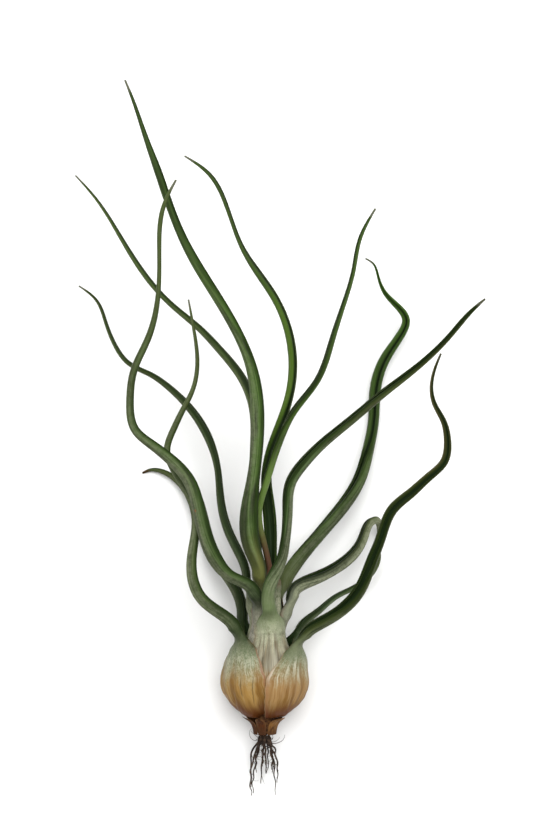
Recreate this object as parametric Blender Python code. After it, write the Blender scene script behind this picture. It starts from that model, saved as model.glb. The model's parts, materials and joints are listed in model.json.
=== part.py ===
# A rootless-living air plant with a hollow bulb of nested leaf sheaths, laid down on its side.
# Blender builds it in metres with +Z up. The tables below are in millimetres unless they say so.
import math
import random

import bmesh
import bpy
import numpy as np

# ---------------------------------------------------------------- driving dimensions
MM = 0.001
STEP_MM = 0.4               # size of one step of the hand read leaf points
FULLER = 0.32               # mm that a blade is wider than the middle that was read
ORIGIN_STEP = (265.0, 682.0)  # step position of the middle of the bulb
EYE = (0.6, 109.8, 800.0)   # where the leaves were looked at from: right, up, toward the eye
REST_TILT = math.radians(14.0)  # the axis of the plant rises this much from the surface
REST_HEIGHT = 16.70         # height of the middle of the bulb above the surface
REST_SPOT = (-0.98, 2.28)   # where the bulb touches the surface, which becomes the origin
SHELL_BULB = 0.80           # thickness of a sheath in the bulb
SHELL_NECK = 0.65           # thickness of a sheath in the neck
GAP_BULB = 0.60             # air between two sheaths in the bulb
GAP_NECK = 0.58             # air between two sheaths in the neck
NECK_SHIFT = 1.0            # the neck stands this much to the right of the bulb
CAUDEX_RADIUS = 3.60        # the short stem that carries every sheath
COLUMNS = 11                # points across a sheath
THINNEST = 0.32             # smallest radius of a blade, at its tip
BLADE_STEP = 11.0           # longest distance between two rings of a blade
BLADE_TURN = 20.0           # degrees that a blade may bend between two rings
CURL_LENGTH = 6.6           # length over which a sheath curls into a blade
CURL_RINGS = 4              # rings over that length
BACK_REACH = 148.0          # half angle of a curled sheath; the rest of the turn is its groove
GROOVE_REACH = 17.0         # half angle of the floor of that groove
EDGE_MARGIN = 7.0           # degrees beyond an edge where the next sheath still lies a layer deeper
EDGE_FALL = 36.0            # degrees over which it then rises to the layer above
RELEASE = 8.0               # height over which the inner sheaths rise above a leaf that has left
ROOT_COUNT = 15
SEED = 41

# outer outline of the bulb and neck: radius, height
OUTLINE = [
    (4.0, -14.0), (6.3, -13.7), (9.6, -12.2), (13.9, -8.4), (16.8, -3.4), (17.6, 0.8),
    (16.9, 5.4), (15.0, 10.6), (12.5, 15.4), (10.4, 19.6), (9.3, 24.0), (8.6, 28.5),
    (7.9, 33.0), (7.0, 38.0), (6.0, 43.0), (5.3, 49.0), (5.0, 58.0),
]

# leaves from the outermost sheath to the innermost one
# azimuth: height, direction of the middle of the sheath, 0 toward the eye and 90 to the right
# wrap: height, half angle of the sheath; spine: step right, step down, width in steps, depth
LEAVES = [
    dict(name="leaf_01", azimuth=[(0, 76), (25, 72)], top=12.8, turn=30,
         wrap=[(-14, 77), (0, 76), (4, 72.5), (6, 69), (8.4, 61), (11.4, 49.5), (15, 35), (17.5, 28),
               (19, 26)],
         spine=[(304.5, 635.5, 13.4, 5.5), (320, 623, 13, 8), (340, 611, 12.2, 10.5), (359, 591, 11.5, 13.5),
                (372, 560, 10.5, 17), (380, 540, 9.5, 19), (393, 509, 9.5, 21.5), (410, 494, 9, 23),
                (430, 476, 7.8, 25), (444, 462, 7.4, 26), (447.5, 440, 6.5, 27), (443, 420, 5.2, 28),
                (435, 405, 4.3, 28), (431.5, 390, 3.4, 28), (434.5, 370, 2.7, 28), (441, 353.5, 1.8, 28)]),
    dict(name="leaf_02", azimuth=[(0, -62), (25, -58)], top=15.0, turn=-25,
         wrap=[(-14, 78), (-5, 72), (1, 64.5), (5, 62), (8, 56), (11.5, 50), (15, 41), (19, 29)],
         spine=[(235, 627, 15, 7.6), (220, 612, 13.6, 9), (201, 596, 12.4, 10), (193, 575, 11.5, 10.5),
                (193.5, 550, 10, 10.5), (196.5, 522, 8.6, 10), (191.5, 500, 8, 9.5), (176, 473, 7, 9),
                (167.5, 450, 6.5, 9.5), (173.5, 430, 6.2, 11), (183, 410, 5.5, 12.5),
                (192.8, 390, 4.5, 14), (197.5, 360, 4, 16), (194, 330, 3, 18), (188.5, 299.5, 1.6, 20)]),
    dict(name="leaf_03", azimuth=[(0, 125), (25, 114)], top=13.8, turn=20,
         wrap=[(-14, 80), (-5, 74), (2, 70), (8, 60), (13, 44), (18, 28)],
         spine=[(301, 626, 9, -7), (318, 611, 7.2, -10), (335, 597, 6, -13), (353, 588, 5.4, -16),
                (366, 579, 5.4, -18.5), (376, 566, 5.2, -20.5), (379, 556, 4, -21.5), (377, 543, 2, -22)]),
    dict(name="leaf_04", azimuth=[(0, -133), (25, -124)], top=17.0, turn=25,
         wrap=[(-14, 80), (-5, 74), (3, 70), (10, 60), (16, 46), (22, 35)],
         spine=[(242, 607, 12, -9.5), (234, 585, 12, -13), (217, 560, 11, -18), (204, 530, 9.5, -24),
                (192, 500, 8.5, -29.5), (177, 480, 6.5, -34), (163, 471.5, 5, -36.2),
                (150, 470, 3.2, -37.2), (142.5, 473, 1.8, -37.65)]),
    dict(name="leaf_05", azimuth=[(0, 22), (19, 21), (24, 15), (27, 5), (30, 3)], top=24.5, turn=-30,
         wrap=[(-14, 82), (-3, 80), (5, 76), (12, 68), (17, 57), (20, 54), (24, 57), (26, 51), (30, 36)],
         spine=[(268, 602, 13.8, 11.6), (270, 585, 13, 12.8), (278.5, 565, 12, 13.6), (284.5, 540, 10.5, 14.4),
                (287, 510, 10.5, 15.4), (290, 484, 10.3, 16.8), (302, 465, 10.5, 18.6), (320, 446, 9.5, 20),
                (350, 421, 8.5, 24), (380, 396, 7.5, 27), (420, 364.5, 6, 31), (450, 335.5, 5, 34.5),
                (470, 312.5, 4, 37.5), (485, 299, 1.8, 40)]),
    dict(name="leaf_06", azimuth=[(0, 98), (25, 84)], top=27.5, turn=30,
         wrap=[(-14, 80), (0, 76), (10, 66), (18, 50), (25, 40), (31, 34)],
         spine=[(293.5, 590.5, 14, 0.6), (310, 580, 13.6, -3.8), (330, 571, 12, -10), (350, 557, 11.6, -15.5),
                (363, 538, 9.8, -20), (371, 521.5, 8.4, -23.5), (377, 520.5, 7, -26), (379.5, 531, 4.8, -28.5),
                (377, 545, 2, -30.28)]),
    dict(name="leaf_07", azimuth=[(0, -44), (22, -30), (30, -25)], top=29.0, turn=-35,
         wrap=[(-14, 80), (0, 76), (12, 60), (22, 42), (30, 38), (35, 34)],
         spine=[(250, 585, 14.4, 9.8), (231, 575, 13.4, 11.4), (217.3, 559.6, 16.2, 12.5), (208.5, 540, 16, 14.5),
                (203, 520, 15, 15.5), (190, 481, 13, 17), (170, 458.5, 11, 18.5), (150, 443, 9, 21),
                (135.5, 430, 8, 22.5), (130, 400, 7, 25), (134, 370, 6.5, 28), (147.3, 340, 6, 30),
                (157.5, 300, 4.5, 32.5), (159.2, 250, 4, 34.5), (162.5, 210, 4, 36.5), (168, 195, 3, 37.5),
                (176, 180, 1.8, 38.5)]),
    dict(name="leaf_08", azimuth=[(0, 122), (14, 134), (25, 147)], top=31.5, turn=40,
         wrap=[(-14, 80), (0, 76), (12, 66), (22, 56), (30, 46), (35, 42)],
         spine=[(283, 587, 14, -8.2), (291.5, 568.5, 15, -11), (314, 540, 13, -15.5), (340, 510, 13, -21.5),
                (359, 480, 12.5, -27.5), (368, 450, 11.5, -34), (373.5, 420, 11, -38.8),
                (375.3, 390, 11.3, -41.5), (384.5, 360, 10.5, -43), (400, 336, 8.2, -43.5),
                (406, 320, 7.5, -43), (395, 304, 6, -41.5), (385, 293, 4.4, -40), (378.3, 277, 2.7, -38.5),
                (373.5, 264, 2.1, -37.6), (365.5, 258.5, 1.6, -37)]),
    dict(name="leaf_09", azimuth=[(0, -105), (25, -96)], top=34.0, turn=30,
         wrap=[(-14, 80), (0, 76), (15, 62), (25, 52), (34, 44), (40, 42)],
         spine=[(246.5, 573, 9.6, -3.4), (238, 550, 10, -7), (228.5, 530, 9.5, -10), (221, 500, 8, -13),
                (218, 470, 7, -16), (210, 441, 8.5, -19), (190, 408, 8, -24), (170, 388, 6.5, -27.5),
                (150, 374, 5.5, -30.5), (128, 362.5, 5, -34), (115, 345, 4.3, -36.5), (106, 323, 3.7, -39),
                (97, 301, 3, -41.5), (79, 286, 1.6, -44)]),
    dict(name="leaf_10", azimuth=[(0, -150), (25, -156)], top=35.0, turn=20,
         wrap=[(-14, 80), (0, 76), (15, 62), (25, 52), (35, 46), (41, 44)],
         spine=[(258, 564, 10, -8), (255.5, 530, 10, -8.6), (254, 490, 10, -8.6), (255.5, 440, 10, -9),
                (254, 408, 10, -10.5), (243, 379, 9.2, -13), (220, 349.5, 8, -17), (200, 328.5, 7, -20.5),
                (170, 303, 6, -25), (141.5, 270, 5.5, -29.5), (116.5, 230, 4, -34), (97, 200, 3, -37.5),
                (75.5, 175.5, 1.6, -41)]),
    dict(name="leaf_11", azimuth=[(0, 160), (25, 162)], top=37.5, turn=-20,
         wrap=[(-14, 80), (0, 76), (15, 64), (25, 56), (37, 50), (43, 48)],
         spine=[(271, 556, 12, -5.2), (270.5, 530, 12.4, -6), (268, 500, 11.5, -6.5), (266.5, 478, 10, -7),
                (271, 452, 10, -7.6), (282, 420, 9, -8.6), (291.5, 385, 8.6, -9.6), (290.5, 340, 8.5, -10.5),
                (276, 300, 7.5, -12), (255, 268.5, 6.5, -13), (243.5, 250, 5, -13.5), (228, 210, 4, -15),
                (210, 175, 4, -16.5), (184.5, 156, 1.6, -18)]),
    dict(name="leaf_12", azimuth=[(0, -30), (25, -34)], top=37.0, turn=25,
         wrap=[(-14, 80), (0, 76), (15, 66), (25, 60), (36, 54), (43, 52)],
         spine=[(258.5, 567, 15, 7.4), (252.5, 549, 17.4, 7.2), (249, 520, 18, 7.6), (252, 490, 14.5, 7.4),
                (256.5, 455, 12.5, 8.2), (258, 420, 14, 9), (252.5, 370, 11, 10), (236.5, 330, 10, 11.4),
                (213, 290, 10, 13), (189, 250, 9, 14.5), (171.5, 210, 7.5, 16), (157.8, 170, 7, 17.5),
                (146.8, 140, 5, 18.5), (133, 100, 3, 20), (125, 80, 1.8, 20.8)]),
    dict(name="leaf_13", azimuth=[(0, 60), (12, 40), (25, 22)], top=40.0, turn=-20,
         wrap=[(-14, 80), (0, 78), (15, 72), (25, 66), (40, 62), (46, 62)],
         spine=[(266.9, 558, 7, 0.9), (262.3, 538, 6.6, 1.0), (258.8, 518, 6, 1.1), (260.8, 500, 6.4, 1.2),
                (264.6, 487, 7, 1.4), (271, 466, 7, 1.8), (281, 437, 7, 2.2), (292, 414, 7, 2.8),
                (317.3, 380, 6.3, 3.6), (332, 340, 6, 4.6), (345, 300, 4.7, 5.4), (353.5, 270, 4.2, 6),
                (359.5, 240, 3.8, 6.8), (375.5, 208.5, 1.8, 8)]),
]

# dry scales at the foot: azimuth, half angle, height where the tip ends
SCALES = [(-16, 20, -13.7), (47, 33, -13.5), (-66, 24, -13.4), (-128, 29, -13.5), (142, 47, -13.6)]
SCALE_OUTLINE = [(4.75, -20.6), (4.95, -19.2), (5.4, -17.4), (6.4, -15.8), (7.9, -14.65), (9.2, -13.85),
                 (10.2, -13.2)]
SCALE_THICKNESS = 0.62

COLOURS = {
    "blade": (0.085, 0.150, 0.050, 1.0),
    "stem": (0.180, 0.110, 0.060, 1.0),
    "root": (0.045, 0.030, 0.022, 1.0),
    "scale": (0.210, 0.115, 0.055, 1.0),
}


# ---------------------------------------------------------------- small mathematics
def smooth(t):
    t = min(1.0, max(0.0, t))
    return t * t * (3.0 - 2.0 * t)


def interpolate(table, x):
    """Straight lines through a table of pairs, flat beyond its ends."""
    if x <= table[0][0]:
        return table[0][1]
    for (xa, ya), (xb, yb) in zip(table, table[1:]):
        if x <= xb:
            return ya + (yb - ya) * (x - xa) / (xb - xa)
    return table[-1][1]


class Spline:
    """Natural cubic spline through points, measured along its chords."""

    def __init__(self, points):
        self.p = np.array(points, dtype=float)
        steps = np.linalg.norm(np.diff(self.p[:, :3], axis=0), axis=1)
        self.t = np.concatenate([[0.0], np.cumsum(steps)])
        n = len(self.t)
        h = np.diff(self.t)
        a = np.zeros((n, n))
        b = np.zeros((n, self.p.shape[1]))
        a[0, 0] = 1.0
        a[-1, -1] = 1.0
        for i in range(1, n - 1):
            a[i, i - 1] = h[i - 1]
            a[i, i] = 2.0 * (h[i - 1] + h[i])
            a[i, i + 1] = h[i]
            b[i] = 6.0 * ((self.p[i + 1] - self.p[i]) / h[i] - (self.p[i] - self.p[i - 1]) / h[i - 1])
        self.m = np.linalg.solve(a, b)
        self.h = h

    def length(self):
        return float(self.t[-1])

    def at(self, t):
        t = min(max(t, 0.0), self.length())
        i = min(int(np.searchsorted(self.t, t, side="right")) - 1, len(self.h) - 1)
        h = self.h[i]
        left = (self.t[i + 1] - t) / h
        right = (t - self.t[i]) / h
        bend = (left ** 3 - left) * self.m[i] + (right ** 3 - right) * self.m[i + 1]
        return left * self.p[i] + right * self.p[i + 1] + bend * h * h / 6.0

    def along(self, t):
        a = self.at(t - 0.05)[:3]
        b = self.at(t + 0.05)[:3]
        return (b - a) / np.linalg.norm(b - a)


def to_world(p):
    """Plant frame (right, up the plant, toward the eye) to the laid down object, in metres."""
    c = math.cos(REST_TILT)
    s = math.sin(REST_TILT)
    x = p[0] - REST_SPOT[0]
    y = p[1] * c - p[2] * s - REST_SPOT[1]
    z = p[1] * s + p[2] * c + REST_HEIGHT
    return (x * MM, y * MM, z * MM)


def from_eye(step_right, step_down, depth):
    """A point that the eye sees at a step position, standing at a depth."""
    seen = np.array([(step_right - ORIGIN_STEP[0]) * STEP_MM, (ORIGIN_STEP[1] - step_down) * STEP_MM, 0.0])
    eye = np.array(EYE)
    return eye + (seen - eye) * (1.0 - depth / EYE[2])


# ---------------------------------------------------------------- the bulb as nested shells
PROFILE = Spline([(r, u, 0.0) for r, u in OUTLINE])
SCALE_PROFILE = Spline([(r, u, 0.0) for r, u in SCALE_OUTLINE])


def profile_at_height(profile, height):
    low = 0.0
    high = profile.length()
    for _ in range(40):
        middle = 0.5 * (low + high)
        if profile.at(middle)[1] < height:
            low = middle
        else:
            high = middle
    return 0.5 * (low + high)


def shell_point(profile, angle, place, depth):
    """A point under the outline: angle round the axis, place along it, depth inward."""
    r, u, _ = profile.at(place)
    tangent = profile.along(place)
    normal = np.array([tangent[1] * smooth(place / 6.0), -tangent[0]])
    if place <= 0.001:
        normal = np.array([0.0, -1.0])
    normal = normal / np.linalg.norm(normal)
    r = max(4.0, r - normal[0] * depth) if u < -6.0 else r - normal[0] * depth
    u = u - normal[1] * depth
    shift = NECK_SHIFT * smooth(u / 30.0)
    return np.array([r * math.sin(angle) + shift, u, r * math.cos(angle)])


def shell_thickness(height):
    return SHELL_BULB + (SHELL_NECK - SHELL_BULB) * smooth((height - 6.0) / 20.0)


def layer_pitch(height):
    return shell_thickness(height) + GAP_BULB + (GAP_NECK - GAP_BULB) * smooth((height - 6.0) / 20.0)


def centre_angle(leaf, height):
    return interpolate(leaf["azimuth"], height)


def half_wrap(leaf, height):
    return interpolate(leaf["wrap"], height)


def cover(leaf, angle, height):
    """How far a leaf lies over this spot: 1 under its sheath, falling to 0 beside and above it."""
    released = leaf["top"] + CURL_LENGTH
    if height > released + RELEASE:
        return 0.0
    wrap = half_wrap(leaf, height)
    off = abs((math.degrees(angle) - centre_angle(leaf, height) + 180.0) % 360.0 - 180.0)
    side = 1.0 - smooth((off - wrap - EDGE_MARGIN) / EDGE_FALL)
    return side * (1.0 - smooth((height - released) / RELEASE))


def layer_depth(rank, angle, place):
    height = PROFILE.at(place)[1]
    total = 0.0
    for outer in LEAVES[:rank]:
        total += cover(outer, angle, height)
    return total * layer_pitch(height)


def sheath_ring(rank, place):
    """Ring of a sheath: outer points from left to right, then inner points back again."""
    leaf = LEAVES[rank]
    height = PROFILE.at(place)[1]
    middle = centre_angle(leaf, height)
    wrap = half_wrap(leaf, height)
    thick = shell_thickness(height)
    outer = []
    inner = []
    for i in range(COLUMNS):
        side = -1.0 + 2.0 * i / (COLUMNS - 1)
        angle = math.radians(middle + wrap * side)
        depth = layer_depth(rank, angle, place)
        outer.append(shell_point(PROFILE, angle, place, depth))
        inner.append(shell_point(PROFILE, angle, place, depth + thick))
    return outer + inner[::-1]


# ---------------------------------------------------------------- the blades
def blade_frame(spine, place, start_out, turn_to):
    """Frames carried along a spine without twist, then turned by a small angle per length."""
    frames = []
    out = start_out
    for t in place:
        along = spine.along(t)
        out = out - along * float(np.dot(out, along))
        out = out / np.linalg.norm(out)
        spin = math.radians(turn_to) * (t / spine.length())
        side = np.cross(along, out)
        turned = out * math.cos(spin) + side * math.sin(spin)
        frames.append((along, turned, np.cross(along, turned)))
    return frames


def round_ring(centre, frame, radius):
    """Ring of a rolled blade with as many points as a sheath ring; the groove faces inward."""
    _, out, side = frame
    ring = []
    for i in range(COLUMNS):
        a = math.radians(BACK_REACH * (-1.0 + 2.0 * i / (COLUMNS - 1)))
        ring.append(centre + radius * (math.cos(a) * out + math.sin(a) * side))
    for i in range(COLUMNS):
        s = 1.0 - 2.0 * i / (COLUMNS - 1)
        a = math.radians(180.0 - GROOVE_REACH * s)
        deep = radius * (0.34 + 0.62 * abs(s))
        ring.append(centre + deep * (math.cos(a) * out + math.sin(a) * side))
    return ring


BLADE_ANGLES = (-153, -118, -79, -40, 0, 40, 79, 118, 153, 180)


def blade_ring(centre, frame, radius, groove):
    _, out, side = frame
    ring = []
    for degrees in BLADE_ANGLES:
        a = math.radians(degrees)
        r = radius * groove if degrees == 180 else radius
        ring.append(centre + r * (math.cos(a) * out + math.sin(a) * side))
    return ring


# ---------------------------------------------------------------- meshes
def new_collection(name):
    collection = bpy.data.collections.new(name)
    bpy.context.scene.collection.children.link(collection)
    return collection


def material(name, colour, roughness):
    mat = bpy.data.materials.new(name)
    mat.use_nodes = True
    shader = mat.node_tree.nodes["Principled BSDF"]
    shader.inputs["Base Color"].default_value = colour
    shader.inputs["Roughness"].default_value = roughness
    return mat


def add_object(name, bm, mat, collection):
    bmesh.ops.recalc_face_normals(bm, faces=bm.faces)
    if bm.calc_volume(signed=True) < 0:
        bmesh.ops.reverse_faces(bm, faces=bm.faces)
    mesh = bpy.data.meshes.new(name)
    bm.to_mesh(mesh)
    bm.free()
    mesh.materials.append(mat)
    obj = bpy.data.objects.new(name, mesh)
    collection.objects.link(obj)
    return obj


def add_ring(bm, ring):
    return [bm.verts.new(to_world(p)) for p in ring]


def join_rings(bm, a, b):
    n = len(a)
    for i in range(n):
        j = (i + 1) % n
        bm.faces.new((a[i], a[j], b[j], b[i]))


def join_unlike(bm, a, b, place_a, place_b):
    """Stitch two rings with different numbers of points; places run from 0 to 1 round each ring."""
    i = 0
    j = 0
    na = len(a)
    nb = len(b)
    while i < na or j < nb:
        next_a = place_a[i + 1] if i + 1 < na else 1.0 + (place_a[0] if i + 1 == na else 9.0)
        next_b = place_b[j + 1] if j + 1 < nb else 1.0 + (place_b[0] if j + 1 == nb else 9.0)
        if j >= nb or (i < na and next_a <= next_b):
            bm.faces.new((a[i % na], a[(i + 1) % na], b[j % nb]))
            i += 1
        else:
            bm.faces.new((a[i % na], b[(j + 1) % nb], b[j % nb]))
            j += 1


def cap_strip(bm, ring):
    """Close the open end of a shell ring, whose second half runs back along the first."""
    n = len(ring) // 2
    for i in range(n - 1):
        bm.faces.new((ring[i], ring[i + 1], ring[2 * n - 2 - i], ring[2 * n - 1 - i]))


def cap_fan(bm, ring, centre):
    tip = bm.verts.new(to_world(centre))
    n = len(ring)
    for i in range(n):
        bm.faces.new((ring[i], ring[(i + 1) % n], tip))


def blade_places(spine, start):
    """Places for rings along a spine: close together where it bends, far apart where it is straight."""
    fine = 0.5
    count = int((spine.length() - start) / fine)
    bends = []
    for i in range(count):
        t = start + fine * i
        cosine = float(np.dot(spine.along(t), spine.along(t + fine)))
        bend = math.degrees(math.acos(max(-1.0, min(1.0, cosine))))
        bends.append(max(fine / BLADE_STEP, bend / BLADE_TURN))
    total = sum(bends)
    rings = max(3, int(math.ceil(total)))
    places = []
    passed = 0.0
    for i, share in enumerate(bends):
        passed += share
        if passed >= total * (len(places) + 1) / rings and len(places) < rings - 1:
            places.append(start + fine * (i + 1))
    places.append(spine.length())
    return places


def leaf_spine(rank):
    leaf = LEAVES[rank]
    place = profile_at_height(PROFILE, leaf["top"])
    angle = math.radians(centre_angle(leaf, leaf["top"]))
    # a blade begins a little outside its sheath, so that it curls up clear of the inner leaves
    innermost = rank == len(LEAVES) - 1
    start_out = 0.0 if innermost else 0.85 * leaf["spine"][0][2] * STEP_MM * 0.5
    depth = layer_depth(rank, angle, place) + 0.5 * SHELL_BULB - start_out
    first = shell_point(PROFILE, angle, place, depth)
    points = [(*first, leaf["spine"][0][2] * STEP_MM)]
    for number, (right, down, width, w) in enumerate(leaf["spine"]):
        fuller = FULLER * min(1.0, number / 2.0) * min(1.0, width / 8.0)
        points.append((*from_eye(right, down, w), width * STEP_MM + fuller))
    return Spline(points), place, angle


def leaf_mesh(rank):
    leaf = LEAVES[rank]
    spine, top_place, angle = leaf_spine(rank)
    bm = bmesh.new()
    # the sheath, from the rim at the stem up to where it begins to curl
    rows = max(7, int(round(top_place / 4.0)))
    rings = [add_ring(bm, sheath_ring(rank, top_place * i / rows)) for i in range(rows + 1)]
    cap_strip(bm, rings[0])
    for a, b in zip(rings, rings[1:]):
        join_rings(bm, a, b)
    # the curl: the sheath goes over into the rolled blade
    out = np.array([math.sin(angle), 0.0, math.cos(angle)])
    length = spine.length()
    curl = [CURL_LENGTH * (i + 1) / CURL_RINGS for i in range(CURL_RINGS)]
    rest = blade_places(spine, CURL_LENGTH)
    places = [0.0] + curl + rest
    frames = blade_frame(spine, places, out, leaf["turn"])
    last = rings[-1]
    for i, t in enumerate(curl):
        weight = smooth((i + 1) / CURL_RINGS)
        p = spine.at(t)
        round_one = round_ring(p[:3], frames[i + 1], p[3] * 0.5)
        flat_one = sheath_ring(rank, top_place + t)
        ring = [f * (1.0 - weight) + r * weight for f, r in zip(flat_one, round_one)]
        ring = add_ring(bm, ring)
        join_rings(bm, last, ring)
        last = ring
    # the blade, with fewer points a ring
    first = -BLADE_ANGLES[0]
    place_a = [(first + BACK_REACH * (-1.0 + 2.0 * i / (COLUMNS - 1))) / 360.0 for i in range(COLUMNS)]
    place_a += [(first + 180.0 - GROOVE_REACH + 2.0 * GROOVE_REACH * i / (COLUMNS - 1)) / 360.0
                for i in range(COLUMNS)]
    place_b = [(first + d) / 360.0 for d in BLADE_ANGLES]
    for i, t in enumerate(rest):
        p = spine.at(t)
        end = smooth((length - t) / 12.0)
        ring = blade_ring(p[:3], frames[1 + CURL_RINGS + i], max(THINNEST, p[3] * 0.5), 0.9 - 0.55 * end)
        ring = add_ring(bm, ring)
        if i == 0:
            join_unlike(bm, last, ring, place_a, place_b)
        else:
            join_rings(bm, last, ring)
        last = ring
    cap_fan(bm, last, spine.at(length)[:3] + frames[-1][0] * 0.25)
    return bm


def scale_point(angle, place, depth):
    """A point under the outline of the scales."""
    r, u, _ = SCALE_PROFILE.at(place)
    tangent = SCALE_PROFILE.along(place)
    r = r - tangent[1] * depth
    u = u + tangent[0] * depth
    return np.array([r * math.sin(angle), u, r * math.cos(angle)])


def scale_mesh(number):
    """A dry scale round the foot: a short shell that narrows to a blunt tip under the bulb."""
    azimuth, wrap, tip_height = SCALES[number]
    bm = bmesh.new()
    top = profile_at_height(SCALE_PROFILE, tip_height)
    rings = []
    for i in range(6):
        t = i / 5.0
        place = top * t
        half = wrap * math.sqrt(max(0.04, 1.0 - t ** 3))
        outer = []
        inner = []
        for k in range(6):
            a = math.radians(azimuth + half * (-1.0 + 2.0 * k / 5.0))
            outer.append(scale_point(a, place, 0.0))
            inner.append(scale_point(a, place, SCALE_THICKNESS))
        rings.append(add_ring(bm, outer + inner[::-1]))
    cap_strip(bm, rings[0])
    for a, b in zip(rings, rings[1:]):
        join_rings(bm, a, b)
    cap_strip(bm, rings[-1][::-1])
    return bm


def stem_mesh():
    """The short stem: sheaths sit round it one above the other, roots leave it below."""
    bm = bmesh.new()
    outline = [(2.1, -20.8), (3.1, -20.1), (CAUDEX_RADIUS, -19.0), (CAUDEX_RADIUS, -12.0), (CAUDEX_RADIUS, -6.5),
               (3.1, -3.6), (1.8, -1.6)]
    sides = 16
    rings = []
    for r, u in outline:
        ring = []
        for i in range(sides):
            a = 2.0 * math.pi * i / sides
            ring.append(np.array([r * math.sin(a), u, r * math.cos(a)]))
        rings.append(add_ring(bm, ring))
    for a, b in zip(rings, rings[1:]):
        join_rings(bm, a, b)
    cap_fan(bm, rings[0], np.array([0.0, -21.0, 0.0]))
    cap_fan(bm, rings[-1], np.array([0.0, -1.0, 0.0]))
    return bm


def root_mesh(number, rng):
    """One wiry root: a bent rod that leaves the stub and wanders down."""
    azimuth = 2.0 * math.pi * (number + rng.uniform(-0.3, 0.3)) / ROOT_COUNT
    length = rng.uniform(11.0, 24.0)
    spread = rng.uniform(0.15, 0.75)
    radius = rng.uniform(0.36, 0.48)
    start = np.array([1.7 * math.sin(azimuth), -22.4, 1.7 * math.cos(azimuth)])
    points = [(*start, radius)]
    heading = azimuth
    p = start
    for i in range(4):
        heading += rng.uniform(-0.7, 0.7)
        step = length / 4.0
        outward = spread * (1.15 - 0.35 * i)
        d = np.array([math.sin(heading) * outward, -1.0, math.cos(heading) * outward])
        p = p + d / np.linalg.norm(d) * step
        points.append((*p, radius * (1.0 - 0.08 * (i + 1))))
    spine = Spline(points)
    places = [spine.length() * i / 6.0 for i in range(7)]
    frames = blade_frame(spine, places, np.array([math.cos(azimuth), 0.0, -math.sin(azimuth)]), 0.0)
    bm = bmesh.new()
    rings = []
    for t, (_, out, side) in zip(places, frames):
        q = spine.at(t)
        ring = []
        for i in range(6):
            a = 2.0 * math.pi * i / 6.0
            ring.append(q[:3] + max(0.3, q[3]) * (math.cos(a) * out + math.sin(a) * side))
        rings.append(add_ring(bm, ring))
    for a, b in zip(rings, rings[1:]):
        join_rings(bm, a, b)
    cap_fan(bm, rings[0], spine.at(0.0)[:3] + np.array([0.0, 0.3, 0.0]))
    cap_fan(bm, rings[-1], spine.at(spine.length())[:3] + frames[-1][0] * 0.2)
    return bm


def stub_mesh():
    """The stub that all the roots leave."""
    bm = bmesh.new()
    rings = []
    for r, u in [(2.3, -21.4), (2.9, -22.0), (2.7, -23.3), (1.5, -24.6)]:
        ring = []
        for i in range(12):
            a = 2.0 * math.pi * i / 12
            ring.append(np.array([r * math.sin(a), u, r * math.cos(a)]))
        rings.append(add_ring(bm, ring))
    for a, b in zip(rings, rings[1:]):
        join_rings(bm, a, b)
    cap_fan(bm, rings[0], np.array([0.0, -21.35, 0.0]))
    cap_fan(bm, rings[-1], np.array([0.0, -25.0, 0.0]))
    return bm


def select_only(obj):
    bpy.ops.object.select_all(action="DESELECT")
    obj.select_set(True)
    bpy.context.view_layer.objects.active = obj


def unite(target, tool):
    """Fuse one solid into another and drop the tool."""
    select_only(target)
    mod = target.modifiers.new("join", "BOOLEAN")
    mod.operation = "UNION"
    mod.solver = "EXACT"
    mod.object = tool
    bpy.ops.object.modifier_apply(modifier=mod.name)
    bpy.data.objects.remove(tool, do_unlink=True)


def cut_flat(obj):
    """Cut off what would dip under the surface, which leaves a small flat spot to rest on."""
    bm = bmesh.new()
    bm.from_mesh(obj.data)
    if min(v.co.z for v in bm.verts) < -0.00002:
        parts = bm.verts[:] + bm.edges[:] + bm.faces[:]
        cut = bmesh.ops.bisect_plane(bm, geom=parts, dist=1e-7, plane_co=(0, 0, 0), plane_no=(0, 0, 1),
                                     clear_inner=True)
        rim = [e for e in cut["geom_cut"] if isinstance(e, bmesh.types.BMEdge)]
        bmesh.ops.holes_fill(bm, edges=rim, sides=0)
        bmesh.ops.recalc_face_normals(bm, faces=bm.faces)
        bm.to_mesh(obj.data)
    bm.free()


# ---------------------------------------------------------------- build
def build():
    for obj in list(bpy.data.objects):
        bpy.data.objects.remove(obj, do_unlink=True)
    plant = new_collection("sky_plant")
    green = material("leaf_green", COLOURS["blade"], 0.6)
    for rank, leaf in enumerate(LEAVES):
        obj = add_object(leaf["name"], leaf_mesh(rank), green, plant)
        cut_flat(obj)
    brown = material("dry_scale", COLOURS["scale"], 0.8)
    for number in range(len(SCALES)):
        add_object(f"basal_scale_{number + 1}", scale_mesh(number), brown, plant)
    stem = material("stem_brown", COLOURS["stem"], 0.8)
    add_object("stem", stem_mesh(), stem, plant)
    rng = random.Random(SEED)
    dark = material("root_dark", COLOURS["root"], 0.8)
    tuft = add_object("root_tuft", stub_mesh(), dark, plant)
    for number in range(ROOT_COUNT):
        tool = add_object("root_tool", root_mesh(number, rng), dark, plant)
        unite(tuft, tool)


build()
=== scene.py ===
# %% [markdown] # Growing a sky plant, leaf by leaf  A sky plant has no soil. Thirteen leaves share
# one short stem. Each leaf starts as a wide hollow sheath, and the sheaths lie over each other like
# the skins of an onion and make the bulb. Above the bulb each sheath rolls itself into a long wavy
# tube with an open channel along its inner side. They say where every leaf is and how big it is.
# This lesson grows finer leaves in the same places, with real rolled edges, ribs, wrinkles and
# scales, and gives them their finish.

# %% Load the frame
import json
import math
import random

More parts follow.
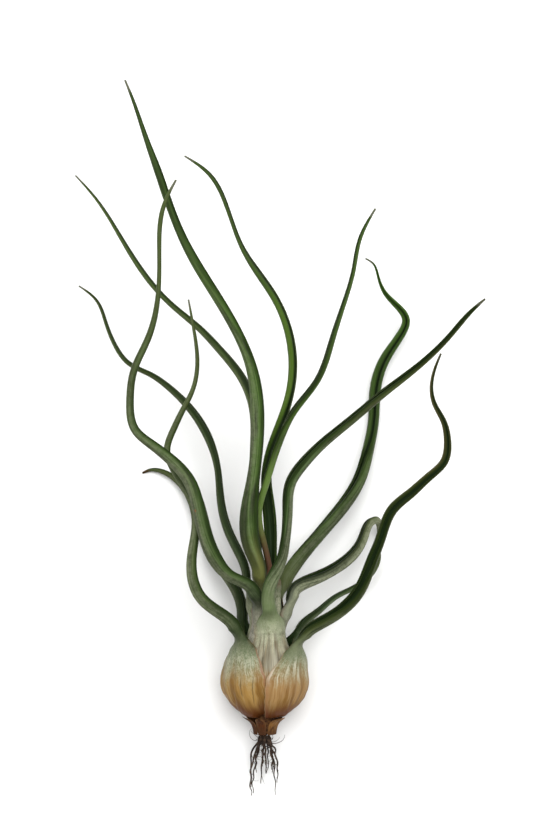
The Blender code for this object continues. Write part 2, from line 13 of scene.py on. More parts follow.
import bpy
import numpy as np
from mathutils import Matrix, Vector

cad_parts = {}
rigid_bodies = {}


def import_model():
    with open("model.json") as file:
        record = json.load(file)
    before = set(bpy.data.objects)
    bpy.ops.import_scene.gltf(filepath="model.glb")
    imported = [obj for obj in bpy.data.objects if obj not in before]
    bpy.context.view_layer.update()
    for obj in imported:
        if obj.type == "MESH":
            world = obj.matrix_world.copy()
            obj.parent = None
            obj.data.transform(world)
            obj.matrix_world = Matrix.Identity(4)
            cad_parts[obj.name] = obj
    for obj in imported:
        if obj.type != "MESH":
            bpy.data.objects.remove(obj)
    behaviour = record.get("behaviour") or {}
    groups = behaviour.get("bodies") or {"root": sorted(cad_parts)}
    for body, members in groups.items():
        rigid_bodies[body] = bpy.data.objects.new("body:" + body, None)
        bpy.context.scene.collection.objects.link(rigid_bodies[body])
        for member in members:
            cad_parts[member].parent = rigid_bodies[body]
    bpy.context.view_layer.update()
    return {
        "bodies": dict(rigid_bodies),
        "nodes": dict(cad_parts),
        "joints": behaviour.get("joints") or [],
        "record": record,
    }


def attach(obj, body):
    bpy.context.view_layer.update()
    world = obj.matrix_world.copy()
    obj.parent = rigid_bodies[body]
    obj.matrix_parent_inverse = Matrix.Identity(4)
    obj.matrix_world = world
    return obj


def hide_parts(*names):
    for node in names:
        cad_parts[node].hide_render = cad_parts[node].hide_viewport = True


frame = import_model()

MM = 0.001                          # metres
print("nodes in the frame:", len(frame["nodes"]))

# %% [markdown]
# ## Two frames of reference
#
# A plant is easiest to describe standing up: right, up along its axis, and toward the eye, in
# millimetres. `laid_down` turns that into the frame of the model, where the plant lies on its side.
# Its axis rises 14 degrees from the surface there, because the fat bulb holds it up. Points of a leaf
# were read as the eye sees them, in steps of 0.4 mm, with a depth added, and `from_eye` undoes the
# perspective.

# %% Frames of reference
REST_TILT = math.radians(14.0)      # how far the axis of the plant rises from the surface
REST_HEIGHT = 16.70                 # mm from the surface up to the origin of the standing plant
REST_SPOT = (-0.98, 2.28)           # mm from there, right and along the surface, to the flat spot
STEP_MM = 0.4                       # mm, one step of what the eye sees
ORIGIN_STEP = (265.0, 682.0)        # the step at which the eye sees the origin of the standing plant
EYE = np.array((0.6, 109.8, 800.0))  # mm, place of the eye before the standing plant


def laid_down(points):
    """Standing plant in mm, one row a point, to the frame of the model in metres."""
    p = np.asarray(points, dtype=float)
    c, s = math.cos(REST_TILT), math.sin(REST_TILT)
    x = p[:, 0] - REST_SPOT[0]
    y = p[:, 1] * c - p[:, 2] * s - REST_SPOT[1]
    z = p[:, 1] * s + p[:, 2] * c + REST_HEIGHT
    return np.column_stack((x, y, z)) * MM


def from_eye(step_right, step_down, depth):
    """The point of the standing plant that is seen at a step and lies at a depth."""
    seen = np.array([(step_right - ORIGIN_STEP[0]) * STEP_MM, (ORIGIN_STEP[1] - step_down) * STEP_MM, 0.0])
    return EYE + (seen - EYE) * (1.0 - depth / EYE[2])


eye_place = laid_down([EYE])[0].round(5)
print("the eye in metres:", eye_place)

# %% [markdown]
# ## The camera
#
# The plant is looked at from above, square to its axis, so the camera hangs over it and leans by the
# same 14 degrees. A long lens from 80 cm keeps the leaves free of strong perspective. The camera has
# no depth of field, so every leaf stays sharp.

# %% Camera
FRAMED_HEIGHT = 326.0               # mm that the picture shows from top to bottom
SENSOR = 36.0                       # mm
bpy.ops.object.select_all(action="DESELECT")
bpy.ops.object.camera_add(location=tuple(eye_place), rotation=(REST_TILT, 0.0, 0.0))
camera = bpy.context.object
camera.name = "overhead_camera"
camera.data.sensor_width = SENSOR
camera.data.lens = SENSOR * EYE[2] / FRAMED_HEIGHT
camera.data.clip_start = 0.01
camera.data.clip_end = 20.0
bpy.context.scene.camera = camera
print("lens in mm:", round(camera.data.lens, 2))

# %% [markdown]
# ## Surface and light
#
# A plain pale surface lies under the plant. The light is that of a small photo studio: one large
# soft panel hangs above, a weaker one stands at each side, and a pale room fills the shadows. The
# panel above is what makes the round leaves look round, because their flanks get less of it. Plain
# colours are kept by the Standard view, which doesn't wash out dark greens as the filmic one does.

# %% Floor
def plain_material(name, colour, roughness):
    mat = bpy.data.materials.new(name)
    mat.use_nodes = True
    shader = mat.node_tree.nodes["Principled BSDF"]
    shader.inputs["Base Color"].default_value = (*colour, 1.0)
    shader.inputs["Roughness"].default_value = roughness
    return mat


FLOOR_DROP = 0.0003                 # metres under the plant, so that the two faces don't fight
bpy.ops.mesh.primitive_plane_add(size=8.0, location=(0.0, 0.0, -FLOOR_DROP))
floor = bpy.context.object
floor.name = "pale_floor"
floor.data.materials.append(plain_material("pale_floor", (0.78, 0.78, 0.775), 0.9))

# %% Lights
def soft_panel(name, place, look_at, size, power):
    """A square light panel that faces a point."""
    turn = (Vector(look_at) - Vector(place)).to_track_quat("-Z", "Y").to_euler()
    bpy.ops.object.light_add(type="AREA", location=place, rotation=turn)
    panel = bpy.context.object
    panel.name = name
    panel.data.size = size
    panel.data.energy = power


# place and aim in metres, side in metres, power in watts
soft_panel("panel_above", (0.10, 0.30, 1.25), (0.0, 0.07, 0.02), 1.20, 26.5)
soft_panel("panel_left", (-1.10, 0.10, 0.70), (0.0, 0.07, 0.03), 0.60, 3.0)
soft_panel("panel_right", (1.10, -0.20, 0.60), (0.0, 0.07, 0.03), 0.60, 3.0)
room = bpy.data.worlds.new("pale_room")
room.use_nodes = True
room.node_tree.nodes["Background"].inputs["Color"].default_value = (1.0, 1.0, 0.985, 1.0)
room.node_tree.nodes["Background"].inputs["Strength"].default_value = 0.37
bpy.context.scene.world = room
bpy.context.scene.view_settings.view_transform = "Standard"

# %% [markdown]
# ## Small mathematics
#
# A leaf is long and smooth, and only a few points along it are known. A cubic spline runs through
# them. `ease` is the soft step that blends one shape into the next. `waves` is a wavering line that
# comes out the same in every run. It makes the ribs, the dents and the kinks.

# %% Helpers for numbers
WHOLE_TURN = 6.283                  # radians


def ease(t):
    """The soft step: 0 below 0, 1 above 1."""
    t = np.clip(t, 0.0, 1.0)
    return t * t * (3.0 - 2.0 * t)


def table_at(table, x):
    """Reads a table of pairs at x, with straight lines between its rows."""
    return float(np.interp(x, [row[0] for row in table], [row[1] for row in table]))


class Spline:
    """A natural cubic spline through points, measured along its chords."""

    def __init__(self, points):
        self.p = np.array(points, dtype=float)
        steps = np.linalg.norm(np.diff(self.p[:, :3], axis=0), axis=1)
        self.t = np.concatenate([[0.0], np.cumsum(steps)])
        n = len(self.t)
        h = np.diff(self.t)
        a = np.eye(n)
        b = np.zeros((n, self.p.shape[1]))
        for i in range(1, n - 1):
            a[i, i - 1:i + 2] = (h[i - 1], 2.0 * (h[i - 1] + h[i]), h[i])
            b[i] = 6.0 * ((self.p[i + 1] - self.p[i]) / h[i] - (self.p[i] - self.p[i - 1]) / h[i - 1])
        self.m = np.linalg.solve(a, b)
        self.h = h
        self.length = float(self.t[-1])

    def at(self, t):
        """The point at length t."""
        t = min(max(t, 0.0), self.length)
        i = min(int(np.searchsorted(self.t, t, side="right")) - 1, len(self.h) - 1)
        h = self.h[i]
        left = (self.t[i + 1] - t) / h
        right = (t - self.t[i]) / h
        bend = (left ** 3 - left) * self.m[i] + (right ** 3 - right) * self.m[i + 1]
        return left * self.p[i] + right * self.p[i + 1] + bend * h * h / 6.0

    def along(self, t):
        """The direction at length t, read from two near points."""
        step = self.at(t + 0.05)[:3] - self.at(t - 0.05)[:3]
        return step / np.linalg.norm(step)


def waves(x, seed, count=6):
    """A soft irregular curve between about -1 and 1, the same for the same seed."""
    draw = random.Random(seed)
    total = 0.0
    for _ in range(count):
        total = total + np.sin(x * draw.uniform(0.55, 1.9) + draw.uniform(0.0, WHOLE_TURN))
    return total / math.sqrt(count) * 0.8


print("waves, first values:", waves(np.arange(3.0), 1).round(3))

# %% [markdown]
# ## The bulb is a stack of shells
#
# The outline of the bulb and neck is one curve, turned round the axis. Every sheath is a part of
# that turned shape, sunk by one layer for each sheath that lies over it. So a sheath has a middle
# direction, a half angle that gets smaller toward its top, and a rank: 0 is the outermost.

# %% Outline and layers
# radius and height in mm, from the foot up
OUTLINE = [
    (4.0, -14.0), (6.3, -13.7), (9.6, -12.2), (13.9, -8.4), (16.8, -3.4), (17.6, 0.8),
    (16.9, 5.4), (15.0, 10.6), (12.5, 15.4), (10.4, 19.6), (9.3, 24.0), (8.6, 28.5),
    (7.9, 33.0), (7.0, 38.0), (6.0, 43.0), (5.3, 49.0), (5.0, 58.0),
]
PROFILE = Spline([(r, u, 0.0) for r, u in OUTLINE])
NECK_SHIFT, NECK_HEIGHT = 1.0, 30.0  # mm that the neck stands to the right, all of it at this height
NECK_FROM, NECK_OVER = 6.0, 20.0    # mm, height where the bulb's measures end, and over which they change
FOOT_TURN = 6.0                     # mm of outline over which its foot turns from down to outward
STEM_ROOM, STEM_TOP = 4.0, -6.0     # radius that the sheaths leave to the stem, and up to which height
SHELL_BULB, SHELL_NECK = 0.80, 0.65  # mm, thickness of a sheath in the bulb and in the neck
GAP_BULB, GAP_NECK = 0.60, 0.58     # mm of air between two sheaths there
CURL_LENGTH = 6.6                   # mm over which a sheath rolls up into a tube
EDGE_MARGIN, EDGE_FALL = 7.0, 36.0  # degrees beside a sheath over which its cover stays, then falls
RELEASE = 8.0                       # mm above a sheath over which its cover falls


def place_at_height(profile, height):
    """The length along a profile at which it reaches a height."""
    low, high = 0.0, profile.length
    for _ in range(40):
        middle = 0.5 * (low + high)
        if profile.at(middle)[1] < height:
            low = middle
        else:
            high = middle
    return 0.5 * (low + high)


def shell_points(profile, degrees, place, depth):
    """Points under the outline at one place along it, for an array of directions and depths."""
    r, u, _ = profile.at(place)
    tangent = profile.along(place)
    normal = np.array([tangent[1] * ease(place / FOOT_TURN), -tangent[0]])
    if place <= 0.001:
        normal = np.array([0.0, -1.0])
    normal = normal / np.linalg.norm(normal)
    radius = r - normal[0] * depth
    if u < STEM_TOP:
        radius = np.maximum(STEM_ROOM, radius)
    a = np.radians(degrees)
    right = radius * np.sin(a) + NECK_SHIFT * ease(u / NECK_HEIGHT)
    return np.column_stack((right, u - normal[1] * depth, radius * np.cos(a)))


def toward_neck(height, in_bulb, in_neck):
    """A measure that changes from the bulb to the neck."""
    return in_bulb + (in_neck - in_bulb) * ease((height - NECK_FROM) / NECK_OVER)


def shell_thickness(height):
    return toward_neck(height, SHELL_BULB, SHELL_NECK)


def layer_pitch(height):
    return shell_thickness(height) + toward_neck(height, GAP_BULB, GAP_NECK)


def cover(leaf, degrees, height):
    """How far a leaf lies over these directions: 1 under its sheath, falling to 0 beside it."""
    released = leaf["top"] + CURL_LENGTH
    if height > released + RELEASE:
        return np.zeros_like(degrees)
    middle = table_at(leaf["azimuth"], height)
    off = np.abs((degrees - middle + 180.0) % 360.0 - 180.0)
    side = 1.0 - ease((off - table_at(leaf["wrap"], height) - EDGE_MARGIN) / EDGE_FALL)
    return side * (1.0 - ease((height - released) / RELEASE))


def layer_depth(rank, degrees, height):
    """How deep a sheath lies under the outline, with all the sheaths that lie over it."""
    total = np.zeros_like(degrees)
    for outer in LEAVES[:rank]:
        total = total + cover(outer, degrees, height)
    return total * layer_pitch(height)


print("length of the outline in mm:", round(PROFILE.length, 1))

# %% [markdown]
# ## The leaves
#
# This table is the plant, from the outermost sheath to the innermost. `azimuth` and `wrap` give the
# direction and the half angle of the sheath at each height, and `top` the height where it starts to
# roll up. `spine` is the middle line of the blade: steps right and down, the width in steps, and
# the depth in mm. `channel` says where the open channel of the tube shows at each share of the
# blade: 0 is toward the eye, 90 on the right hand side along the blade, -90 on the left, 180
# behind. Two leaves have an `opening` of their own, the half angle of the channel.

# %% Table of leaves
LEAVES = [
    dict(name="leaf_01", azimuth=[(0, 76), (25, 72)], top=12.8,
         wrap=[(-14, 77), (0, 76), (4, 72.5), (6, 69), (8.4, 61), (11.4, 49.5), (15, 35), (17.5, 28),
               (19, 26)],
         channel=[(0.05, -72), (0.14, -58), (0.24, -30), (0.36, 5), (0.5, 0), (0.7, 15), (1.0, 30)],
         spine=[(304.5, 635.5, 13.4, 5.5), (320, 623, 13, 8), (340, 611, 12.2, 10.5), (359, 591, 11.5, 13.5),
                (372, 560, 10.5, 17), (380, 540, 9.5, 19), (393, 509, 9.5, 21.5), (410, 494, 9, 23),
                (430, 476, 7.8, 25), (444, 462, 7.4, 26), (447.5, 440, 6.5, 27), (443, 420, 5.2, 28),
                (435, 405, 4.3, 28), (431.5, 390, 3.4, 28), (434.5, 370, 2.7, 28), (441, 353.5, 1.8, 28)]),
    dict(name="leaf_02", azimuth=[(0, -62), (25, -58)], top=15.0,
         wrap=[(-14, 78), (-5, 72), (1, 64.5), (5, 62), (8, 56), (11.5, 50), (15, 41), (19, 29)],
         channel=[(0.06, 105), (0.3, 95), (0.6, 100), (1.0, 100)],
         spine=[(235, 627, 15, 7.6), (220, 612, 13.6, 9), (201, 596, 12.4, 10), (193, 575, 11.5, 10.5),
                (193.5, 550, 10, 10.5), (196.5, 522, 8.6, 10), (191.5, 500, 8, 9.5), (176, 473, 7, 9),
                (167.5, 450, 6.5, 9.5), (173.5, 430, 6.2, 11), (183, 410, 5.5, 12.5),
                (192.8, 390, 4.5, 14), (197.5, 360, 4, 16), (194, 330, 3, 18), (188.5, 299.5, 1.6, 20)]),
    dict(name="leaf_03", azimuth=[(0, 125), (25, 114)], top=13.8,
         wrap=[(-14, 80), (-5, 74), (2, 70), (8, 60), (13, 44), (18, 28)],
         channel=[(0.1, -66), (1.0, -60)],
         spine=[(301, 626, 9, -7), (318, 611, 7.2, -10), (335, 597, 6, -13), (353, 588, 5.4, -16),
                (366, 579, 5.4, -18.5), (376, 566, 5.2, -20.5), (379, 556, 4, -21.5), (377, 543, 2, -22)]),
    dict(name="leaf_04", azimuth=[(0, -133), (25, -124)], top=17.0,
         wrap=[(-14, 80), (-5, 74), (3, 70), (10, 60), (16, 46), (22, 35)],
         channel=[(0.1, 62), (0.6, 80), (1.0, 100)],
         spine=[(242, 607, 12, -9.5), (234, 585, 12, -13), (217, 560, 11, -18), (204, 530, 9.5, -24),
                (192, 500, 8.5, -29.5), (177, 480, 6.5, -34), (163, 471.5, 5, -36.2),
                (150, 470, 3.2, -37.2), (142.5, 473, 1.8, -37.65)]),
    dict(name="leaf_05", azimuth=[(0, 22), (19, 21), (24, 15), (27, 5), (30, 3)], top=24.5,
         wrap=[(-14, 82), (-3, 80), (5, 76), (12, 68), (17, 57), (20, 54), (24, 57), (26, 51), (30, 36)],
         channel=[(0.08, -140), (0.2, -85), (0.34, -66), (0.6, -60), (0.8, -25), (1.0, 0)],
         spine=[(268, 602, 13.8, 11.6), (270, 585, 13, 12.8), (278.5, 565, 12, 13.6),
                (284.5, 540, 10.5, 14.4), (287, 510, 10.5, 15.4), (290, 484, 10.3, 16.8),
                (302, 465, 10.5, 18.6), (320, 446, 9.5, 20), (350, 421, 8.5, 24), (380, 396, 7.5, 27),
                (420, 364.5, 6, 31), (450, 335.5, 5, 34.5), (470, 312.5, 4, 37.5), (485, 299, 1.8, 40)]),
    dict(name="leaf_06", azimuth=[(0, 98), (25, 84)], top=27.5,
         wrap=[(-14, 80), (0, 76), (10, 66), (18, 50), (25, 40), (31, 34)],
         channel=[(0.08, -72), (0.3, -62), (0.7, -62)],
         spine=[(293.5, 590.5, 14, 0.6), (310, 580, 13.6, -3.8), (330, 571, 12, -10),
                (350, 557, 11.6, -15.5), (363, 538, 9.8, -20), (371, 521.5, 8.4, -23.5),
                (377, 520.5, 7, -26), (379.5, 531, 4.8, -28.5), (377, 545, 2, -30.28)]),
    dict(name="leaf_07", azimuth=[(0, -44), (22, -30), (30, -25)], top=29.0,
         wrap=[(-14, 80), (0, 76), (12, 60), (22, 42), (30, 38), (35, 34)],
         channel=[(0.06, 95), (0.25, 85), (0.36, 110), (0.6, 130), (1.0, 120)],
         spine=[(250, 585, 14.4, 9.8), (231, 575, 13.4, 11.4), (217.3, 559.6, 16.2, 12.5),
                (208.5, 540, 16, 14.5), (203, 520, 15, 15.5), (190, 481, 13, 17), (170, 458.5, 11, 18.5),
                (150, 443, 9, 21), (135.5, 430, 8, 22.5), (130, 400, 7, 25), (134, 370, 6.5, 28),
                (147.3, 340, 6, 30), (157.5, 300, 4.5, 32.5), (159.2, 250, 4, 34.5),
                (162.5, 210, 4, 36.5), (168, 195, 3, 37.5), (176, 180, 1.8, 38.5)]),
    dict(name="leaf_08", azimuth=[(0, 122), (14, 134), (25, 147)], top=31.5,
         wrap=[(-14, 80), (0, 76), (12, 66), (22, 56), (30, 46), (35, 42)],
         channel=[(0.05, -100), (0.14, -88), (0.26, -66), (0.4, -40), (0.5, 6), (0.66, 12), (0.8, 8),
                  (1.0, 0)],
         opening=[(0.0, 24), (0.06, 14), (0.25, 13), (0.4, 16), (0.6, 15), (0.85, 12), (1.0, 8)],
         spine=[(283, 587, 14, -8.2), (291.5, 568.5, 15, -11), (314, 540, 13, -15.5), (340, 510, 13, -21.5),
                (359, 480, 12.5, -27.5), (368, 450, 11.5, -34), (373.5, 420, 11, -38.8),
                (375.3, 390, 11.3, -41.5), (384.5, 360, 10.5, -43), (400, 336, 8.2, -43.5),
                (406, 320, 7.5, -43), (395, 304, 6, -41.5), (385, 293, 4.4, -40), (378.3, 277, 2.7, -38.5),
                (373.5, 264, 2.1, -37.6), (365.5, 258.5, 1.6, -37)]),
    dict(name="leaf_09", azimuth=[(0, -105), (25, -96)], top=34.0,
         wrap=[(-14, 80), (0, 76), (15, 62), (25, 52), (34, 44), (40, 42)],
         channel=[(0.08, 72), (0.5, 70), (1.0, 80)],
         spine=[(246.5, 573, 9.6, -3.4), (238, 550, 10, -7), (228.5, 530, 9.5, -10), (221, 500, 8, -13),
                (218, 470, 7, -16), (210, 441, 8.5, -19), (190, 408, 8, -24), (170, 388, 6.5, -27.5),
                (150, 374, 5.5, -30.5), (128, 362.5, 5, -34), (115, 345, 4.3, -36.5), (106, 323, 3.7, -39),
                (97, 301, 3, -41.5), (79, 286, 1.6, -44)]),
    dict(name="leaf_10", azimuth=[(0, -150), (25, -156)], top=35.0,
         wrap=[(-14, 80), (0, 76), (15, 62), (25, 52), (35, 46), (41, 44)],
         channel=[(0.1, 40), (0.4, 75), (1.0, 80)],
         spine=[(258, 564, 10, -8), (255.5, 530, 10, -8.6), (254, 490, 10, -8.6), (255.5, 440, 10, -9),
                (254, 408, 10, -10.5), (243, 379, 9.2, -13), (220, 349.5, 8, -17), (200, 328.5, 7, -20.5),
                (170, 303, 6, -25), (141.5, 270, 5.5, -29.5), (116.5, 230, 4, -34), (97, 200, 3, -37.5),
                (75.5, 175.5, 1.6, -41)]),
    dict(name="leaf_11", azimuth=[(0, 160), (25, 162)], top=37.5,
         wrap=[(-14, 80), (0, 76), (15, 64), (25, 56), (37, 50), (43, 48)],
         channel=[(0.08, -8), (0.25, 20), (0.45, 58), (1.0, 60)],
         opening=[(0.0, 34), (0.06, 62), (0.16, 70), (0.3, 42), (0.6, 26), (0.85, 16), (1.0, 8)],
         spine=[(271, 556, 12, -5.2), (270.5, 530, 12.4, -6), (268, 500, 11.5, -6.5), (266.5, 478, 10, -7),
                (271, 452, 10, -7.6), (282, 420, 9, -8.6), (291.5, 385, 8.6, -9.6), (290.5, 340, 8.5, -10.5),
                (276, 300, 7.5, -12), (255, 268.5, 6.5, -13), (243.5, 250, 5, -13.5), (228, 210, 4, -15),
                (210, 175, 4, -16.5), (184.5, 156, 1.6, -18)]),
    dict(name="leaf_12", azimuth=[(0, -30), (25, -34)], top=37.0,
         wrap=[(-14, 80), (0, 76), (15, 66), (25, 60), (36, 54), (43, 52)],
         channel=[(0.08, 125), (0.2, 115), (0.6, 105), (1.0, 105)],
         spine=[(258.5, 567, 15, 7.4), (252.5, 549, 17.4, 7.2), (249, 520, 18, 7.6), (252, 490, 14.5, 7.4),
                (256.5, 455, 12.5, 8.2), (258, 420, 14, 9), (252.5, 370, 11, 10), (236.5, 330, 10, 11.4),
                (213, 290, 10, 13), (189, 250, 9, 14.5), (171.5, 210, 7.5, 16), (157.8, 170, 7, 17.5),
                (146.8, 140, 5, 18.5), (133, 100, 3, 20), (125, 80, 1.8, 20.8)]),
    dict(name="leaf_13", azimuth=[(0, 60), (12, 40), (25, 22)], top=40.0,
         wrap=[(-14, 80), (0, 78), (15, 72), (25, 66), (40, 62), (46, 62)],
         channel=[(0.05, -100), (0.16, -122), (0.34, -112), (0.46, -64), (0.6, -70), (1.0, -75)],
         spine=[(266.9, 558, 7, 0.9), (262.3, 538, 6.6, 1.0), (258.8, 518, 6, 1.1), (260.8, 500, 6.4, 1.2),
                (264.6, 487, 7, 1.4), (271, 466, 7, 1.8), (281, 437, 7, 2.2), (292, 414, 7, 2.8),
                (317.3, 380, 6.3, 3.6), (332, 340, 6, 4.6), (345, 300, 4.7, 5.4), (353.5, 270, 4.2, 6),
                (359.5, 240, 3.8, 6.8), (375.5, 208.5, 1.8, 8)]),
]
print("leaves in the table:", len(LEAVES))

# %% [markdown]
# ## How a sheath is wrinkled
#
# A sheath that dries from its foot shrinks between its veins. It gets fine lengthwise ribs all
# over, and a few deep folds. Its two edges are thin as paper and lie close on the sheath beneath.
# All of this is real shape here: each point of the sheet is sunk a little, and `sink` says how far.

# %% Relief of a sheath
DRY_FROM, DRY_OVER = -2.0, 22.0     # mm, height up to which a sheath is dry, and over which that fades
RIB_DEPTH, RIB_DRY = 0.075, 0.055   # mm, depth of the ribs, and what dryness adds
HOLLOW_DEPTH, HOLLOW_DRY = 0.10, 0.14  # mm, the same for the wide hollows
FOLDS = {
    # leaf: direction in degrees, lowest and highest height, depth and half width in mm
    "leaf_01": [(28, -9, 2, 0.30, 0.9), (46, -11, 6, 0.26, 0.8), (60, -8, 9, 0.30, 0.8),
                (84, -9, 8, 0.30, 1.0), (104, -9, 6, 0.30, 1.0), (126, -8, 8, 0.30, 1.0)],
    "leaf_02": [(-33, -6, 8, 0.45, 0.30), (-18, -6, 9, 0.45, 0.28), (-52, -9, 3, 0.25, 0.9),
                (-72, -8, 5, 0.30, 0.9), (-95, -9, 8, 0.35, 1.1), (-118, -8, 7, 0.30, 1.0)],
    "leaf_03": [(100, -9, 4, 0.3, 1.0), (122, -8, 8, 0.35, 1.0), (150, -9, 5, 0.35, 1.0),
                (172, -9, 7, 0.35, 1.0)],
    "leaf_04": [(-170, -9, 6, 0.35, 1.0), (-148, -8, 9, 0.35, 1.0), (-120, -9, 6, 0.3, 1.0)],
    "leaf_05": [(-6, 2, 20, 0.50, 0.32), (5, 8, 20, 0.22, 0.28), (24, 5, 20, 0.34, 0.30),
                (34, 8, 20, 0.25, 0.4), (-15, 8, 20, 0.22, 0.4)],
}
print("folds:", sum(len(folds) for folds in FOLDS.values()))


def edge_distance(rank, across, height, radius):
    """Distance in mm along the sheath from each point to the nearer edge."""
    half_arc = radius * math.radians(table_at(LEAVES[rank]["wrap"], height))
    return half_arc * (1.0 - np.abs(across))


def sink(rank, degrees, height, radius, place):
    """Depth in mm of the ribs, the wide hollows and the folds at each point of a row."""
    dry = 1.0 - ease((height - DRY_FROM) / DRY_OVER)
    arc = radius * np.radians(degrees)
    ribs = waves(arc * 2.1 + 0.5 * waves(np.array([place * 0.22]), rank), 100 + rank, 7)
    low = waves(arc * 0.62 + 0.8 * waves(np.array([place * 0.10]), 40 + rank), 200 + rank, 5)
    foot = ease(place / 5.0)
    deep = (RIB_DEPTH + RIB_DRY * dry) * ribs * foot + (HOLLOW_DEPTH + HOLLOW_DRY * dry) * low * foot
    for direction, low_end, high_end, depth, half_width in FOLDS.get(LEAVES[rank]["name"], []):
        span = ease((height - low_end) / 3.5) * (1.0 - ease((height - high_end + 4.0) / 4.0))
        wander = 0.5 * waves(np.array([place * 0.25]), int(direction) + 900)
        off = radius * np.radians((degrees - direction + 180.0) % 360.0 - 180.0) + wander
        deep = deep + depth * span * np.exp(-(off / half_width) ** 2)
    return deep


# %% [markdown]
# ## Where a sheath ends
#
# Its fresh top stays full while the rest shrinks, its middle swells under the blade, and its thin
# edges lean in. These three are shape too, each as a depth that is added to the others.

# %% Waist, swelling and edges
WAISTS = {"leaf_05": (20.7, 0.34)}   # height of a raised line across a sheath, and how far it stands
LINE_WAVER, LINE_WIDTH = 0.35, 0.55  # mm that the line wavers up and down, and its half width
LINE_BELOW = 1.4                    # mm below the line, over which the sheath shrinks
SWELL = 0.26                        # bulge under a blade, as a share of the blade's width
SWELL_OVER, SWELL_WIDTH = 10.0, 0.62  # mm over which it rises, and its half width if an edge is at 1
EDGE_AIR, EDGE_WALL = 0.20, 0.28    # mm that stay free under a thin edge, and its thickness
EDGE_LEAN = 5.5                     # mm beside an edge in which it leans in


def waist(rank, degrees, height):
    """A drying sheath shrinks below its fresh top, and the border stands up as a fine line."""
    if LEAVES[rank]["name"] not in WAISTS:
        return 0.0
    line, rise = WAISTS[LEAVES[rank]["name"]]
    above = height - line - LINE_WAVER * waves(degrees * 0.09, 77, 4)
    shrunk = 0.75 * rise * (1.0 - ease((above + LINE_BELOW) / LINE_BELOW)) * ease((height - 6.0) / 8.0)
    return shrunk - rise * np.exp(-(above / LINE_WIDTH) ** 2)


def swell(rank, across, place, top_place):
    """Below its blade the middle of a sheath bulges outward, as the blade grows out of it."""
    rise = ease((place - top_place + SWELL_OVER) / SWELL_OVER)
    return SWELL * LEAVES[rank]["spine"][0][2] * STEP_MM * rise * np.exp(-(across / SWELL_WIDTH) ** 2)


def hug(rank, edge, height, place):
    """The thin edges lean in until they lie on the next sheath."""
    free = layer_pitch(height) - EDGE_AIR - EDGE_WALL
    wavy = 0.85 + 0.15 * waves(np.array([place * 0.5]), 300 + rank)
    return free * wavy * (1.0 - ease(edge / EDGE_LEAN)) * ease(place / 7.0)


print("sheaths with a waist:", list(WAISTS))

# %% [markdown]
# ## One leaf is one sheet
#
# By hand, one would draw a flat grid, wrap its lower half round the bulb and roll its upper half
# into a tube. That is what happens here. The grid is added as a primitive, and its own flat x and y
# say what each vertex becomes: x runs across the leaf from edge to edge, y runs from the foot to
# the tip. `rows_of` spaces the rows: close on the sheath and where the blade bends, wide elsewhere.

# %% Rows of a leaf
COLUMNS = 60
SHEATH_ROW, CURL_ROW, BLADE_ROW = 0.6, 0.55, 2.0
OUTER_LEAVES, HIDDEN_ROW = 6, 1.4   # from this rank on a sheath is hidden, and its rows stand wider
LOOK_AHEAD = 0.2                    # mm, the step in which a blade is searched for bends
BEND_PER_ROW = 5.0                  # degrees
FULLER = 0.32                       # mm that a blade is wider than the middle that was read


def leaf_spine(rank):
    """The middle line of a blade, from the top of its sheath to the tip."""
    leaf = LEAVES[rank]
    place = place_at_height(PROFILE, leaf["top"])
    direction = table_at(leaf["azimuth"], leaf["top"])
    # the innermost blade starts in the middle of its sheath, the others a little outward
    start_out = 0.0 if rank == len(LEAVES) - 1 else 0.85 * leaf["spine"][0][2] * STEP_MM * 0.5
    height = PROFILE.at(place)[1]
    depth = layer_depth(rank, np.array([direction]), height) + 0.5 * SHELL_BULB - start_out
    first = shell_points(PROFILE, np.array([direction]), place, depth)[0]
    points = [(*first, leaf["spine"][0][2] * STEP_MM)]
    for number, (right, down, width, w) in enumerate(leaf["spine"]):
        fuller = FULLER * min(1.0, number / 2.0) * min(1.0, width / 8.0)
        points.append((*from_eye(right, down, w), width * STEP_MM + fuller))
    return Spline(points), place, direction


def rows_of(rank, spine, top_place):
    """Zone and length in mm of each row, from the foot to the tip."""
    row = SHEATH_ROW if rank < OUTER_LEAVES else HIDDEN_ROW
    count = int(round(top_place / row))
    rows = [("sheath", top_place * i / count) for i in range(count + 1)]
    count = int(round(CURL_LENGTH / CURL_ROW))
    rows += [("curl", CURL_LENGTH * (i + 1) / count) for i in range(count)]
    t = CURL_LENGTH
    before = spine.along(t)
    last = t
    while t < spine.length - 2.0 * LOOK_AHEAD:
        t += LOOK_AHEAD
        ahead = spine.along(t)
        bend = math.degrees(math.acos(min(1.0, float(np.dot(before, ahead)))))
        if t - last >= BLADE_ROW or bend >= BEND_PER_ROW:
            rows.append(("blade", t))
            last = t
            before = ahead
    rows.append(("blade", spine.length))
    return rows


print("a blade has a row every", BLADE_ROW, "mm, or where it has turned by", BEND_PER_ROW, "degrees")

# %% [markdown]
# ## Which way the channel faces
#
# A tube has no front, but its open channel does, and the eye sees it as a dark line along the blade.
# A frame is carried along the spine without twisting it. Then it is turned until the channel faces
# where the table says.

# %% Frames along a blade
def turned(vector, axis, degrees):
    """A vector turned about an axis that is square to it."""
    a = math.radians(degrees)
    return vector * math.cos(a) + np.cross(axis, vector) * math.sin(a)


def channel_side(point, along, out):
    """The side on which the eye sees the channel, which is opposite to out."""
    eye = EYE - point
    eye = eye - along * float(np.dot(eye, along))
    eye = eye / np.linalg.norm(eye)
    right = np.cross(along, eye)
    return math.degrees(math.atan2(-float(np.dot(out, right)), -float(np.dot(out, eye))))


